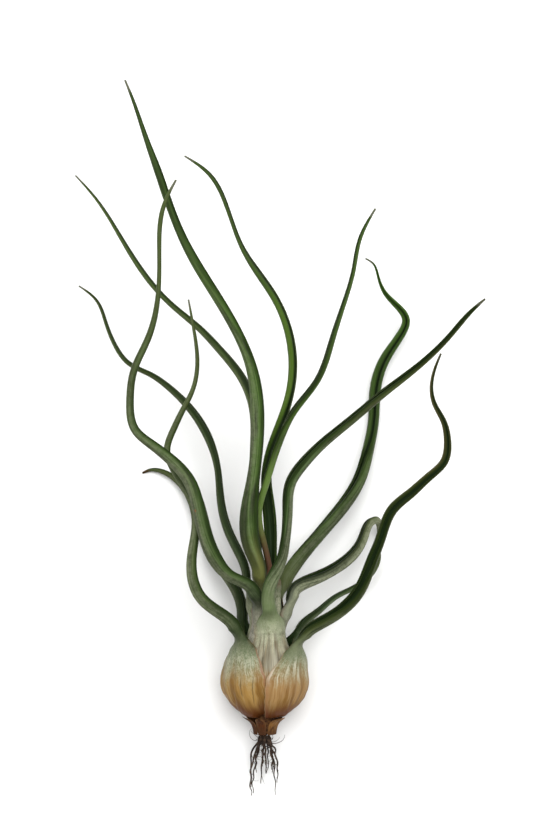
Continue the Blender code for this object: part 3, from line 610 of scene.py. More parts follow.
def carried_frames(spine, places, out):
    """Tangent and outward direction at each place, carried along without a twist."""
    frames = []
    for t in places:
        along = spine.along(t)
        out = out - along * float(np.dot(out, along))
        out = out / np.linalg.norm(out)
        frames.append((along, out))
    return frames


def blade_frames(leaf, spine, places, start_out):
    """Tangent, outward and sideways direction at each place, turned as the channel asks."""
    carried = carried_frames(spine, places, start_out)
    shares = np.array(places) / spine.length
    sides = [channel_side(spine.at(t)[:3], f[0], f[1]) for t, f in zip(places, carried)]
    marks, spins = [0.0], [0.0]
    for share, wanted in leaf["channel"]:
        k = int(np.argmin(np.abs(shares - share)))
        spin = (wanted - sides[k] - spins[-1] + 180.0) % 360.0 - 180.0 + spins[-1]
        marks.append(share)
        spins.append(spin)
    frames = []
    for share, (along, out) in zip(shares, carried):
        k = min(int(np.searchsorted(marks, share, side="right")) - 1, len(marks) - 2)
        if share >= marks[-1]:
            spin = spins[-1]
        else:
            part = (share - marks[k]) / (marks[k + 1] - marks[k])
            spin = spins[k] + (spins[k + 1] - spins[k]) * float(ease(part))
        # the side grows to the right, which is a turn of out about the tangent
        out = turned(out, along, spin)
        frames.append((along, out, np.cross(along, out)))
    return frames


# %% [markdown]
# ## Section of a blade
#
# Cut across, a blade is the letter C. Its back is round, its two lips lean in, and its wall gets
# thinner toward them. Shallow flutes run along the back. Near the tip the C closes.

# %% Rows of points
LIP_FROM, LIP_LEAN = 0.86, 0.22     # where across a lip begins, and how far it leans in, as shares


def sheath_row(rank, across, place, top_place):
    """The outer points of a sheath at one place along the outline."""
    leaf = LEAVES[rank]
    radius, height, _ = PROFILE.at(place)
    middle, wrap = table_at(leaf["azimuth"], height), table_at(leaf["wrap"], height)
    uneven = 1.0 + 0.012 * waves(np.array([place * 0.8]), 500 + rank)
    degrees = middle + wrap * across * uneven
    edge = edge_distance(rank, across, height, radius)
    depth = layer_depth(rank, degrees, height)
    depth = depth + sink(rank, degrees, height, radius, place) + hug(rank, edge, height, place)
    depth = depth - swell(rank, across, place, top_place) + waist(rank, degrees, height)
    return shell_points(PROFILE, degrees, place, depth), edge, degrees


def tube_row(rank, across, centre, frame, radius, opening, t):
    """The outer points of the C; opening is the half angle of the channel in degrees."""
    _, out, side = frame
    angle = np.radians((180.0 - opening) * across)
    lips = 1.0 - LIP_LEAN * ease((np.abs(across) - LIP_FROM) / (1.0 - LIP_FROM))
    drift = 0.35 * float(waves(np.array([t * 0.06]), 600 + rank)[0])
    # five wide flutes and thirteen narrow ones, and they drift round along the blade
    wide, narrow = np.cos(5.0 * angle + drift * 3.0), np.cos(13.0 * angle + 1.0 + drift * 5.0)
    flutes = 1.0 + 0.022 * wide + 0.010 * narrow
    swell = 1.0 + 0.02 * float(waves(np.array([t * 0.13]), 700 + rank)[0])
    r = radius * lips * flutes * swell
    edge = radius * np.radians(180.0 - opening) * (1.0 - np.abs(across))
    return centre + r[:, None] * (np.cos(angle)[:, None] * out + np.sin(angle)[:, None] * side), edge


def wall_of(edge, thick, thin, fade):
    """Thickness of the wall: thin at the edges, full away from them."""
    return thin + (thick - thin) * ease(edge / fade)


# %% Lay one leaf
CHANNEL_OPENING = [(0.0, 32.0), (0.06, 34.0), (0.3, 32.0), (0.6, 26.0), (0.85, 16.0), (1.0, 8.0)]
PAPER_WALL, PAPER_WIDTH = 0.16, 6.0  # mm, the thinnest wall of a sheath, and how wide its thin edge is
BLADE_WALL, BLADE_MOST = 0.36, 1.0  # share of its radius that a blade has as wall, and the most in mm
LIP_WALL, LIP_MOST = 0.20, 0.30     # the same at its lips
TIP_RADIUS, TIP_GAIN = 0.14, 0.20   # mm, least radius of a blade at its tip, and what is added away from it
TIP_OVER = 10.0                     # mm from the tip in which that is added


def laid_leaf(rank):
    """All rows of a leaf: points, and what the finish needs to know about each point."""
    leaf = LEAVES[rank]
    spine, top_place, direction = leaf_spine(rank)
    rows = rows_of(rank, spine, top_place)
    across = np.linspace(-1.0, 1.0, COLUMNS + 1)
    a = math.radians(direction)
    blade_places = [0.0] + [t for zone, t in rows if zone != "sheath"]
    frames = blade_frames(leaf, spine, blade_places, np.array([math.sin(a), 0.0, math.cos(a)]))[1:]
    names = ("along_mm", "height_mm", "edge_mm", "climb_mm", "direction", "wall", "share")
    points, facts = [], {name: [] for name in names}
    n = 0
    for zone, t in rows:
        share = 0.0
        if zone == "sheath":
            row, edge, degrees = sheath_row(rank, across, t, top_place)
            height = PROFILE.at(t)[1]
            wall = wall_of(edge, shell_thickness(height), PAPER_WALL, PAPER_WIDTH)
            along = t
        else:
            p = spine.at(t)
            share = t / spine.length
            end = float(ease((spine.length - t) / TIP_OVER))
            radius = max(TIP_RADIUS + TIP_GAIN * end, p[3] * 0.5)
            opening = table_at(leaf.get("opening", CHANNEL_OPENING), share)
            row, edge = tube_row(rank, across, p[:3], frames[n], radius, opening, t)
            thick, thin = min(BLADE_MOST, BLADE_WALL * radius), min(LIP_MOST, LIP_WALL * radius)
            wall = wall_of(edge, thick, thin, 0.9 * radius)
            n += 1
            along = top_place + t
            if zone == "curl":
                weight = float(ease(t / CURL_LENGTH))
                flat, flat_edge, degrees = sheath_row(rank, across, top_place + t, top_place)
                row = flat * (1.0 - weight) + row * weight
                edge = flat_edge * (1.0 - weight) + edge * weight
                flat_wall = wall_of(flat_edge, SHELL_NECK, PAPER_WALL, PAPER_WIDTH)
                wall = flat_wall * (1.0 - weight) + wall * weight
        points.append(row)
        facts["along_mm"].append(np.full(COLUMNS + 1, along))
        facts["height_mm"].append(row[:, 1])
        facts["edge_mm"].append(edge)
        facts["climb_mm"].append(np.full(COLUMNS + 1, along - top_place))
        facts["direction"].append(degrees)  # those of the last sheath row on a blade
        facts["wall"].append(wall)
        facts["share"].append(np.full(COLUMNS + 1, share))
    facts = {name: np.array(values) for name, values in facts.items()}
    facts["across"] = np.tile(across, (len(rows), 1))
    return np.array(points), facts


print("rows and columns of the first leaf:", laid_leaf(0)[0].shape[:2])

# %% [markdown]
# ## From the flat grid to a leaf with a wall
#
# The sheet is shaped, then the Solidify modifier gives it its wall. The wall grows inward, so the
# outside stays where the frame says, and a vertex group makes it thin at the edges. The modifier
# also sorts the faces: the outside, the inside and the cut edge each get their own finish.

# %% Grow one leaf
def select_only(piece):
    bpy.ops.object.select_all(action="DESELECT")
    piece.select_set(True)
    bpy.context.view_layer.objects.active = piece


def add_fact(mesh, name, values):
    attribute = mesh.attributes.new(name, "FLOAT", "POINT")
    attribute.data.foreach_set("value", np.asarray(values, dtype=np.float32).ravel())


def shaped_sheet(name, points, facts):
    """A flat grid whose vertices take the places given for its rows and columns."""
    rows, columns = points.shape[0] - 1, points.shape[1] - 1
    bpy.ops.object.select_all(action="DESELECT")
    bpy.ops.mesh.primitive_grid_add(x_subdivisions=columns, y_subdivisions=rows, size=2.0)
    sheet = bpy.context.object
    sheet.name = name
    sheet.data.name = name
    flat = np.array([v.co for v in sheet.data.vertices])
    column = np.rint((flat[:, 0] + 1.0) / 2.0 * columns).astype(int)
    row = np.rint((flat[:, 1] + 1.0) / 2.0 * rows).astype(int)
    places = laid_down(points[row, column])
    places[:, 2] = np.maximum(places[:, 2], 0.0)     # flat where it touches the surface
    sheet.data.vertices.foreach_set("co", places.astype(np.float32).ravel())
    for fact, values in facts.items():
        add_fact(sheet.data, fact, values[row, column])
    sheet.data.update()
    return sheet


def give_wall(sheet, walls, finishes):
    """Solidify with a thickness for each vertex, in mm, and apply it."""
    select_only(sheet)
    thickest = float(np.max(walls))
    group = sheet.vertex_groups.new(name="wall")
    for index, wall in enumerate(walls):
        group.add([index], float(wall) / thickest, "REPLACE")
    for finish in finishes:
        sheet.data.materials.append(finish)
    wall = sheet.modifiers.new("wall", "SOLIDIFY")
    wall.thickness = thickest * MM
    wall.offset = -1.0
    wall.vertex_group = "wall"
    wall.material_offset = 1
    wall.material_offset_rim = 2
    bpy.ops.object.modifier_apply(modifier="wall")
    sheet.vertex_groups.clear()
    bpy.ops.object.shade_smooth_by_angle(angle=math.radians(60.0))


# %% [markdown]
# ## The finish of a leaf
#
# Under a lens, a leaf is a green skin under a coat of tiny silver scales. The scales are dense on
# the back of the blade and on the sheath, and sparse in and beside the channel, where the darker
# skin shows; the near black there is also the channel's shade, painted into the colour. Low on the
# bulb the sheath has dried to a golden brown.
#
# The patterns follow the leaf and not space, so they read what was stored on each point: the
# distance along, the place across, the height in the bulb and the distance to the edge. A material
# is a net of nodes, and joining them one by one makes long code, so a small class does it: each of
# its methods adds a node, feeds it and hands back its output.

# %% Helpers for nodes
class Finish:
    """A material with short ways to add and join nodes."""

    def __init__(self, name, roughness, specular):
        self.material = bpy.data.materials.new(name)
        self.material.use_nodes = True
        self.tree = self.material.node_tree
        self.shader = self.tree.nodes["Principled BSDF"]
        self.shade("Roughness", roughness)
        self.shade("Specular IOR Level", specular)

    def feed(self, socket, value):
        """Joins a socket, or sets a number or a colour."""
        if isinstance(value, bpy.types.NodeSocket):
            self.tree.links.new(value, socket)
        elif isinstance(value, tuple) and len(value) == 3 and len(socket.default_value) == 4:
            socket.default_value = (*value, 1.0)
        else:
            socket.default_value = value

    def shade(self, input_name, value):
        """Feeds one of the inputs of the surface itself."""
        self.feed(self.shader.inputs[input_name], value)

    def fact(self, name):
        """What was stored on the points under a name."""
        node = self.tree.nodes.new("ShaderNodeAttribute")
        node.attribute_name = name
        return node.outputs["Fac"]

    def math(self, operation, a, b=0.0, clamp=False):
        node = self.tree.nodes.new("ShaderNodeMath")
        node.operation = operation
        node.use_clamp = clamp
        self.feed(node.inputs[0], a)
        self.feed(node.inputs[1], b)
        return node.outputs[0]

    def plus(self, a, b):
        return self.math("ADD", a, b)

    def minus(self, a, b):
        return self.math("SUBTRACT", a, b)

    def times(self, a, b, clamp=False):
        return self.math("MULTIPLY", a, b, clamp)

    def size(self, a):
        return self.math("ABSOLUTE", a)

    def swing(self, noise, amount):
        """A noise moved to lie about 0, times an amount."""
        return self.times(self.minus(noise, 0.5), amount)

    def span(self, value, low, high, to_low=0.0, to_high=1.0):
        """A soft step: to_low below low, to_high above high."""
        node = self.tree.nodes.new("ShaderNodeMapRange")
        node.interpolation_type = "SMOOTHSTEP"
        names = ("Value", "From Min", "From Max", "To Min", "To Max")
        for name, fed in zip(names, (value, low, high, to_low, to_high)):
            self.feed(node.inputs[name], fed)
        return node.outputs["Result"]

    def point(self, x, y, z=0.0):
        node = self.tree.nodes.new("ShaderNodeCombineXYZ")
        for socket, fed in zip(node.inputs, (x, y, z)):
            self.feed(socket, fed)
        return node.outputs[0]

    def in_space(self):
        return self.tree.nodes.new("ShaderNodeTexCoord").outputs["Object"]

    def noise(self, where, scale=1.0, detail=2.0, roughness=0.5):
        node = self.tree.nodes.new("ShaderNodeTexNoise")
        self.feed(node.inputs["Vector"], where)
        node.inputs["Scale"].default_value = scale
        node.inputs["Detail"].default_value = detail
        node.inputs["Roughness"].default_value = roughness
        return node.outputs["Fac"]

    def lengthwise(self, across_pace, along_pace, seed=0.0, detail=3.0, roughness=0.5):
        """Noise drawn out along the leaf: it changes fast across it and slowly along it."""
        across = self.times(self.fact("across"), across_pace)
        along = self.times(self.fact("along_mm"), along_pace)
        return self.noise(self.point(across, along, seed), 1.0, detail, roughness)

    def mix(self, share, a, b):
        node = self.tree.nodes.new("ShaderNodeMix")
        node.data_type = "RGBA"
        self.feed(node.inputs["Factor"], share)
        self.feed(node.inputs[6], a)
        self.feed(node.inputs[7], b)
        return node.outputs[2]

    def bump(self, height, strength, distance_mm):
        node = self.tree.nodes.new("ShaderNodeBump")
        node.inputs["Strength"].default_value = strength
        node.inputs["Distance"].default_value = distance_mm * MM
        self.feed(node.inputs["Height"], height)
        self.shade("Normal", node.outputs["Normal"])


print("helpers for nodes:", len([name for name in vars(Finish) if not name.startswith("_")]))

# %% [markdown]
# ### Colours
#
# No two leaves are the same green: young ones are fresh and bright, old ones are olive, and the one
# that curls over is nearly white with scales. So the colours that all leaves share stand first, and
# the table after them says in what each leaf differs.

# %% Colours that the leaves share
# the deep green below is also painted shade: at the lips beside the channel, and on the shaded side of one
# leaf
GREEN_DEEP_AND_SHADE = (0.008, 0.016, 0.002)  # furrows and lips of a blade
SILVER = (0.206, 0.222, 0.140)      # coat of scales
OLIVE_FAR = (0.040, 0.054, 0.013)   # the outer half of a leaf is older and browner
TIP = (0.105, 0.105, 0.072)
SHEATH = ((0.115, 0.139, 0.075), (0.230, 0.243, 0.157))    # dark and light patches of a fresh sheath
PALE_GRAIN, DARK_GRAIN = (0.350, 0.345, 0.260), (0.060, 0.074, 0.038)
PALE_RIB, DARK_RIB = (0.310, 0.288, 0.205), (0.080, 0.075, 0.045)
SHOULDER = (0.070, 0.095, 0.044)    # top of a sheath, where the blade begins
GOLD = ((0.168, 0.086, 0.021), (0.300, 0.176, 0.052))      # dark and light streaks of a dried sheath
GOLD_RIB, GOLD_FURROW = (0.340, 0.245, 0.120), (0.100, 0.044, 0.010)
SCURF = (0.420, 0.390, 0.300)
# painted shade along the folds of a sheath
CREASE_SHADE = (0.040, 0.026, 0.012)
FOOT_BROWN = (0.105, 0.032, 0.006)
BLUSH = (0.205, 0.066, 0.045)
PAPER_EDGE = (0.270, 0.180, 0.100)
SPOT_BROWN = (0.210, 0.062, 0.022)

# %% Looks of each leaf
# Every leaf has: fresh, its green; silver, its share of scales; lip, how far across the blade they
# end, where 1 is its edge; base and base_mm, colour and length of its base; dry, the height in mm up
# to which its sheath has dried; blush, the share of red at the margins of its sheath.
# Some have more. On the blade: deep, the colour of furrows and lips, which at the lips is partly
# painted shade of the channel; far and far_coat, the colour and the share of scales toward the tip;
# base_coat, the share of scales at the base; middle and middle_mm, a brighter stretch; shade, the
# bounds across and the length in mm of a painted shaded side; tip and tip_colour, where the dried
# tip begins and its colour; spot, a brown spot.
# On the sheath: sheath and dried, its colours; warm, the heights in mm between which its foot goes
# over into gold; scurf, the share of scurf; shoulder, the share of green at its top; creases,
# direction, lowest and highest place in mm of each fold whose shade is painted as a dark line.
LOOKS = {
    "leaf_01": dict(fresh=(0.042, 0.054, 0.014), silver=0.40, lip=0.95, base=(0.085, 0.102, 0.050),
                    base_mm=8, far=(0.070, 0.050, 0.016), spot=(387.0, 517.0, 21.0, 1.3), dry=5.5,
                    dried=((0.168, 0.086, 0.028), (0.295, 0.176, 0.070)), scurf=1.1, blush=0.30),
    "leaf_02": dict(fresh=(0.040, 0.062, 0.015), silver=0.62, lip=0.88, base=(0.020, 0.032, 0.011),
                    base_mm=14, base_coat=0.1, dry=5.5, scurf=0.3,
                    creases=[(-33.0, -5.0, 5.0), (-17.5, -8.0, 6.0)], blush=0.60),
    "leaf_03": dict(fresh=(0.032, 0.061, 0.022), silver=0.45, lip=0.85, base=(0.040, 0.060, 0.030),
                    base_mm=8, dry=6.0, blush=0.20),
    "leaf_04": dict(fresh=(0.027, 0.046, 0.012), silver=0.55, lip=0.85, base=(0.012, 0.020, 0.008),
                    base_mm=16, base_coat=0.1, tip=0.955, tip_colour=(0.050, 0.020, 0.010), dry=6.0,
                    blush=0.20),
    "leaf_05": dict(fresh=(0.038, 0.072, 0.018), silver=0.60, lip=0.90, base=(0.096, 0.132, 0.052),
                    base_mm=16, base_coat=0.35, far=(0.050, 0.052, 0.015),
                    sheath=((0.185, 0.215, 0.124), (0.345, 0.358, 0.246)), shoulder=0.12, dry=18.0,
                    dried=((0.122, 0.110, 0.074), (0.262, 0.244, 0.180)), warm=(1.0, 8.0),
                    creases=[(-6.0, 2.0, 22.0), (-15.0, 9.0, 20.0), (24.0, 7.0, 20.0)], blush=0.30),
    # leaf_06: its near-black greens are partly its darker skin and partly painted shade on the channel side
    "leaf_06": dict(fresh=(0.012, 0.019, 0.006), silver=1.15, lip=1.00, base=(0.120, 0.130, 0.092),
                    base_mm=9, base_coat=0.9, deep=(0.004, 0.007, 0.002), far_coat=0.9,
                    sheath=((0.200, 0.206, 0.150), (0.370, 0.362, 0.280)), dry=-4.0, blush=0.40),
    "leaf_07": dict(fresh=(0.036, 0.066, 0.014), silver=0.58, lip=0.85, base=(0.016, 0.026, 0.010),
                    base_mm=14, base_coat=0.1, far_coat=0.22, spot=(194.5, 511.0, 18.5, 0.9),
                    sheath=((0.132, 0.126, 0.097), (0.300, 0.284, 0.226)), shoulder=0.2, dry=-4.0,
                    blush=0.50),
    "leaf_08": dict(fresh=(0.028, 0.054, 0.009), silver=0.30, lip=1.06, base=(0.060, 0.076, 0.026),
                    base_mm=20, base_coat=0.5, far=(0.036, 0.086, 0.008), dry=-6.0, blush=0.40),
    "leaf_09": dict(fresh=(0.024, 0.044, 0.013), silver=0.50, lip=0.80, base=(0.020, 0.030, 0.012),
                    base_mm=10, dry=-6.0, blush=0.80),
    "leaf_10": dict(fresh=(0.046, 0.072, 0.016), silver=0.60, lip=0.80, base=(0.026, 0.040, 0.012),
                    base_mm=10, far=(0.044, 0.070, 0.014), far_coat=0.4, dry=-8.0, blush=0.30),
    "leaf_11": dict(fresh=(0.032, 0.074, 0.004), silver=0.20, lip=1.04, base=(0.018, 0.034, 0.008),
                    base_mm=10, far=(0.034, 0.056, 0.012), middle=(0.044, 0.090, 0.005),
                    middle_mm=(62, 122), dry=-8.0, blush=0.20),
    "leaf_12": dict(fresh=(0.044, 0.088, 0.014), silver=0.44, lip=0.80, base=(0.108, 0.112, 0.030),
                    base_mm=20, base_coat=0.1, far=(0.016, 0.030, 0.005), far_coat=0.22,
                    shade=(0.26, 0.44, 62.0), dry=-8.0, blush=0.55),
    "leaf_13": dict(fresh=(0.038, 0.074, 0.010), silver=0.16, lip=0.82, base=(0.085, 0.034, 0.020),
                    base_mm=25, base_coat=0.2, far=(0.036, 0.066, 0.012), far_coat=0.4,
                    middle=(0.086, 0.150, 0.026), middle_mm=(18, 52), dry=-8.0, blush=0.50),
}
print("looks:", len(LOOKS))

# %% [markdown]
# ### Skin of the blade
#
# First comes the green skin, with furrows, a base, an older outer half and dark lips, whose dark is
# partly the skin's own and partly painted shade of the channel. Then comes the coat: how thickly the
# silver scales lie is one number for each point, and it mixes the green with silver. The same number
# later makes the skin duller where scales cover it.

# %% Skin of a blade
def blade_green(f, look, seed, veins, climb):
    """Green skin; climb is the distance in mm past the top of the sheath."""
    deep = look.get("deep", GREEN_DEEP_AND_SHADE)
    green = f.mix(f.span(f.lengthwise(3.2, 0.045, seed), 0.34, 0.58), GREEN_DEEP_AND_SHADE, look["fresh"])
    green = f.mix(f.span(veins, 0.34, 0.50, 0.65, 0.0), green, deep)
    green = f.mix(f.span(f.fact("share"), 0.35, 0.85, 0.0, 0.7), green, look.get("far", OLIVE_FAR))
    if "middle" in look:
        first, last = look["middle_mm"]
        there = f.times(f.span(climb, first - 6.0, first + 3.0),
                        f.span(climb, last - 12.0, last + 8.0, 0.85, 0.0))
        green = f.mix(there, green, look["middle"])
    base = f.span(climb, 0.25 * look["base_mm"], 1.4 * look["base_mm"], 0.9, 0.0)
    green = f.mix(base, green, look["base"])
    # painted shade: the lips beside the channel turn near black, partly their darker skin and partly the
    # channel's shade
    lips = f.span(f.size(f.fact("across")), look["lip"] - 0.30, look["lip"], 0.0, 0.85)
    return f.mix(lips, green, deep)


def silver_coat(f, look, veins, mottle, climb):
    """How thickly the scales lie: dense on the back, sparse at the lips and toward the tip."""
    speckle = f.noise(f.in_space(), 1500.0, 2.0, 0.6)
    patches = f.plus(f.times(mottle, 0.6), f.times(speckle, 0.4))
    back = f.span(f.size(f.fact("across")), look["lip"] - 0.58, look["lip"] - 0.08, 1.0, 0.0)
    coat = f.times(back, f.span(veins, 0.34, 0.60, 0.42, 1.0))
    coat = f.times(coat, f.span(patches, 0.36, 0.60, 0.50, 1.0))
    coat = f.times(coat, f.span(climb, 2.0, 1.3 * look["base_mm"], look.get("base_coat", 0.6), 1.0))
    coat = f.times(coat, look["silver"], clamp=True)
    return f.times(coat, f.span(f.fact("share"), 0.30, 0.75, 1.0, look.get("far_coat", 0.42)))


def blade_skin(f, look, seed, mottle):
    """Colour of the blade, and its coat."""
    veins = f.lengthwise(13.0, 0.05, seed + 9.0)
    climb = f.plus(f.fact("climb_mm"), f.swing(mottle, 8.0))
    green = blade_green(f, look, seed, veins, climb)
    coat = silver_coat(f, look, veins, mottle, climb)
    if "shade" in look:
        first, last, length = look["shade"]
        dark = f.times(f.span(f.fact("across"), first, last, 0.62, 0.0), f.span(climb, 2.0, 12.0))
        dark = f.times(dark, f.span(climb, length - 30.0, length, 1.0, 0.0))
        green = f.mix(dark, green, GREEN_DEEP_AND_SHADE)
        coat = f.times(coat, f.minus(1.0, dark))
    return f.mix(coat, green, SILVER), coat


# %% [markdown]
# ### Skin of the sheath
#
# A sheath has two skins, a fresh silvery one above and a dried golden one below. The border between
# them isn't a ring: it wanders up and down with the streaks, so the height is moved by the noise
# before it decides. Painted shade along the creases, a brown foot and red margins come last.

# %% Skin of a sheath
def fresh_sheath(f, look, mottle, lines, grain):
    fresh = f.mix(f.span(mottle, 0.32, 0.66), *look.get("sheath", SHEATH))
    fresh = f.mix(f.span(grain, 0.48, 0.64, 0.0, 0.62), fresh, PALE_GRAIN)
    fresh = f.mix(f.span(grain, 0.32, 0.46, 0.60, 0.0), fresh, DARK_GRAIN)
    fresh = f.mix(f.span(lines, 0.50, 0.70, 0.0, 0.50), fresh, PALE_RIB)
    fresh = f.mix(f.span(lines, 0.28, 0.40, 0.45, 0.0), fresh, DARK_RIB)
    return f.mix(f.span(f.fact("climb_mm"), -7.0, 0.0, 0.0, look.get("shoulder", 0.45)), fresh, SHOULDER)


def dried_sheath(f, look, level, streaks, lines):
    """Golden skin; level is the height in mm, moved up and down by the noise."""
    first, last = look.get("warm", (-10.0, -2.0))
    gold = f.mix(f.span(streaks, 0.30, 0.66), *look.get("dried", GOLD))
    gold = f.mix(f.span(level, first, last, 1.0, 0.0), gold, f.mix(f.span(streaks, 0.34, 0.62), *GOLD))
    gold = f.mix(f.span(lines, 0.50, 0.70, 0.0, 0.40), gold, GOLD_RIB)
    return f.mix(f.span(lines, 0.28, 0.40, 0.55, 0.0), gold, GOLD_FURROW)


def scurf_streaks(f, look, height, streaks, lines):
    """A pale scurf lies in streaks where green goes over into gold."""
    belt = f.span(f.size(f.minus(height, 6.5)), 1.5, 6.5, 0.9, 0.0)
    scurf = f.times(f.times(f.span(streaks, 0.46, 0.62), f.span(lines, 0.42, 0.60)), belt)
    return f.times(scurf, look.get("scurf", 0.6), clamp=True)


def shaded_creases(f, look, height, colour):
    """Painted shade: dark lines along the folds of the drying sheath."""
    for number, (where, low, high) in enumerate(look.get("creases", [])):
        wander = f.noise(f.point(f.times(height, 0.22), 3.7 * number))
        off = f.plus(f.minus(f.fact("direction"), where), f.swing(wander, 5.0))
        reach = f.times(f.span(height, low, low + 2.5), f.span(height, high - 4.0, high, 1.0, 0.0))
        colour = f.mix(f.times(f.span(f.size(off), 0.1, 1.1, 0.62, 0.0), reach), colour, CREASE_SHADE)
    return colour


def sheath_skin(f, look, mottle, streaks, lines, grain):
    height, edge = f.fact("height_mm"), f.fact("edge_mm")
    wander = f.plus(f.plus(f.swing(streaks, 16.0), f.swing(mottle, 6.0)), f.swing(lines, 6.0))
    level = f.plus(height, wander)
    dryness = f.span(level, look["dry"] - 7.5, look["dry"] + 6.0, 1.0, 0.0)
    fresh = fresh_sheath(f, look, mottle, lines, grain)
    colour = f.mix(dryness, fresh, dried_sheath(f, look, level, streaks, lines))
    colour = f.mix(scurf_streaks(f, look, height, streaks, lines), colour, SCURF)
    colour = shaded_creases(f, look, height, colour)
    foot = f.span(f.plus(height, f.times(wander, 0.3)), -12.0, -4.5, 1.0, 0.0)
    colour = f.mix(foot, colour, FOOT_BROWN)
    blush = f.times(f.span(edge, 0.4, 2.6, 1.0, 0.0), f.span(streaks, 0.40, 0.60))
    colour = f.mix(f.times(blush, look["blush"], clamp=True), colour, BLUSH)
    return f.mix(f.span(edge, 0.10, 0.50, 0.6, 0.0), colour, PAPER_EDGE)


# %% [markdown]
# ### The whole outside
#
# Where the sheath rolls up into the blade, the one skin goes over into the other. The very tip has
# dried. A faint sheen stands for the light that the scales scatter at a flat angle, and a shallow
# bump adds the ribs that are too fine for the mesh.

# %% Finish of the outside
def spotted(f, spot, colour):
    """A small dried spot where the eye sees it: steps right and down, depth and radius in mm."""
    right, down, depth, radius = spot
    centre = laid_down([from_eye(right, down, depth)])[0]
    node = f.tree.nodes.new("ShaderNodeVectorMath")
    node.operation = "DISTANCE"
    f.feed(node.inputs[0], f.in_space())
    node.inputs[1].default_value = tuple(centre)
    dried = f.span(node.outputs["Value"], 0.35 * radius * MM, radius * MM, 0.85, 0.0)
    return f.mix(dried, colour, SPOT_BROWN)


def outside_finish(name, look, number):
    f = Finish(name, 0.6, 0.05)
    seed = number * 7.3
    mottle = f.noise(f.in_space(), 420.0, 3.0, 0.6)
    streaks = f.lengthwise(6.5, 0.04, seed + 2.0)
    lines = f.lengthwise(38.0, 0.09, seed, 2.0)
    grain = f.lengthwise(34.0, 1.3, seed + 5.0, 3.0, 0.6)
    blade, coat = blade_skin(f, look, seed, mottle)
    rolled = f.span(f.plus(f.fact("climb_mm"), f.swing(mottle, 9.0)), -5.0, 6.0)
    colour = f.mix(rolled, sheath_skin(f, look, mottle, streaks, lines, grain), blade)
    tip = look.get("tip", 0.97)
    dried_tip = f.span(f.fact("share"), tip, 0.5 * tip + 0.5, 0.0, 0.8)
    colour = f.mix(dried_tip, colour, look.get("tip_colour", TIP))
    if "spot" in look:
        colour = spotted(f, look["spot"], colour)
    f.shade("Base Color", colour)
    f.shade("Roughness", f.span(coat, 0.0, 0.5, 0.42, 0.70))
    f.shade("Sheen Weight", f.span(f.fact("share"), 0.0, 0.03, 0.0, 0.05))
    f.shade("Sheen Roughness", 0.35)
    f.shade("Sheen Tint", (0.80, 0.86, 0.68))
    f.bump(f.plus(f.times(lines, 0.8), f.times(grain, 0.5)), 0.40, 0.08)
    return f.material


# %% Finish of the inside and of the cut edge
def two_zones(f, pattern, dry_tones, green_tones, low, high):
    """Dried tones on the sheath and green ones on the blade, with a border from low to high in mm."""
    patches = f.span(pattern, 0.35, 0.65)
    zone = f.span(f.fact("climb_mm"), low, high)
    f.shade("Base Color", f.mix(zone, f.mix(patches, *dry_tones), f.mix(patches, *green_tones)))


inside = Finish("leaf_inside", 0.6, 0.14)
ribs = inside.lengthwise(26.0, 0.05, 0.0, 2.0)
# the green inside of a blade is nearly black: its own dark skin, with the channel's shade painted in
two_zones(inside, ribs, ((0.150, 0.100, 0.055), (0.240, 0.175, 0.105)),
          ((0.008, 0.018, 0.004), (0.014, 0.032, 0.006)), -9.0, -3.0)
inside.bump(ribs, 0.35, 0.08)
cut_edge = Finish("leaf_edge", 0.7, 0.10)
speckle = cut_edge.noise(cut_edge.in_space(), 900.0)
two_zones(cut_edge, speckle, ((0.130, 0.065, 0.035), (0.270, 0.180, 0.105)),
          ((0.022, 0.032, 0.010), (0.050, 0.060, 0.026)), -2.0, 5.0)
print("shared finishes:", inside.material.name, cut_edge.material.name)

# %% [markdown]
# ## Grow all leaves
#
# Now each leaf is laid, shaped and given its wall and its finish. It takes the place of its own
# solid in the frame and rides on the same body.

# %% Grow all leaves
for rank, leaf in enumerate(LEAVES):
    points, facts = laid_leaf(rank)
    walls = facts.pop("wall")
    sheet = shaped_sheet("grown_" + leaf["name"], points, facts)
    outside = outside_finish("coat_" + leaf["name"], LOOKS[leaf["name"]], rank)
    give_wall(sheet, walls.ravel(), (outside, inside.material, cut_edge.material))
    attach(sheet, "root")
    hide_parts(leaf["name"])
    print(leaf["name"], "rows", points.shape[0], "faces", len(sheet.data.polygons))

# %% [markdown]
# ## Dry scales round the foot
#
# Five short leaves of earlier years have dried round the foot of the bulb. Each is a small stiff
# shell with a torn tip and lengthwise fibres. They are made as the big leaves are, from a flat grid,
# but the last rows end at a different place in each column, which tears the tip.

# %% Shape of a scale
# middle direction and half angle in degrees, height of the tip in mm
SCALES = [(-16, 20, -13.7), (47, 33, -13.5), (-66, 24, -13.4), (-128, 29, -13.5), (142, 47, -13.6)]
SCALE_PROFILE = Spline([(4.75, -20.6, 0), (4.95, -19.2, 0), (5.4, -17.4, 0), (6.4, -15.8, 0),
                        (7.9, -14.65, 0), (9.2, -13.85, 0), (10.2, -13.2, 0)])
SCALE_RADIUS = 5.5                  # mm, about where the middle of a scale lies
SCALE_COLUMNS, SCALE_ROWS = 36, 30
SCALE_WALL, SCALE_EDGE_WALL = 0.42, 0.12  # mm


def scale_points(degrees, places, depths):
    """Points under the profile of the scales, each at its own place along it."""
    points = []
    for direction, place, depth in zip(np.radians(degrees), places, depths):
        r, u, _ = SCALE_PROFILE.at(place)
        tangent = SCALE_PROFILE.along(place)
        r, u = r - tangent[1] * depth, u + tangent[0] * depth
        points.append((r * math.sin(direction), u, r * math.cos(direction)))
    return np.array(points)


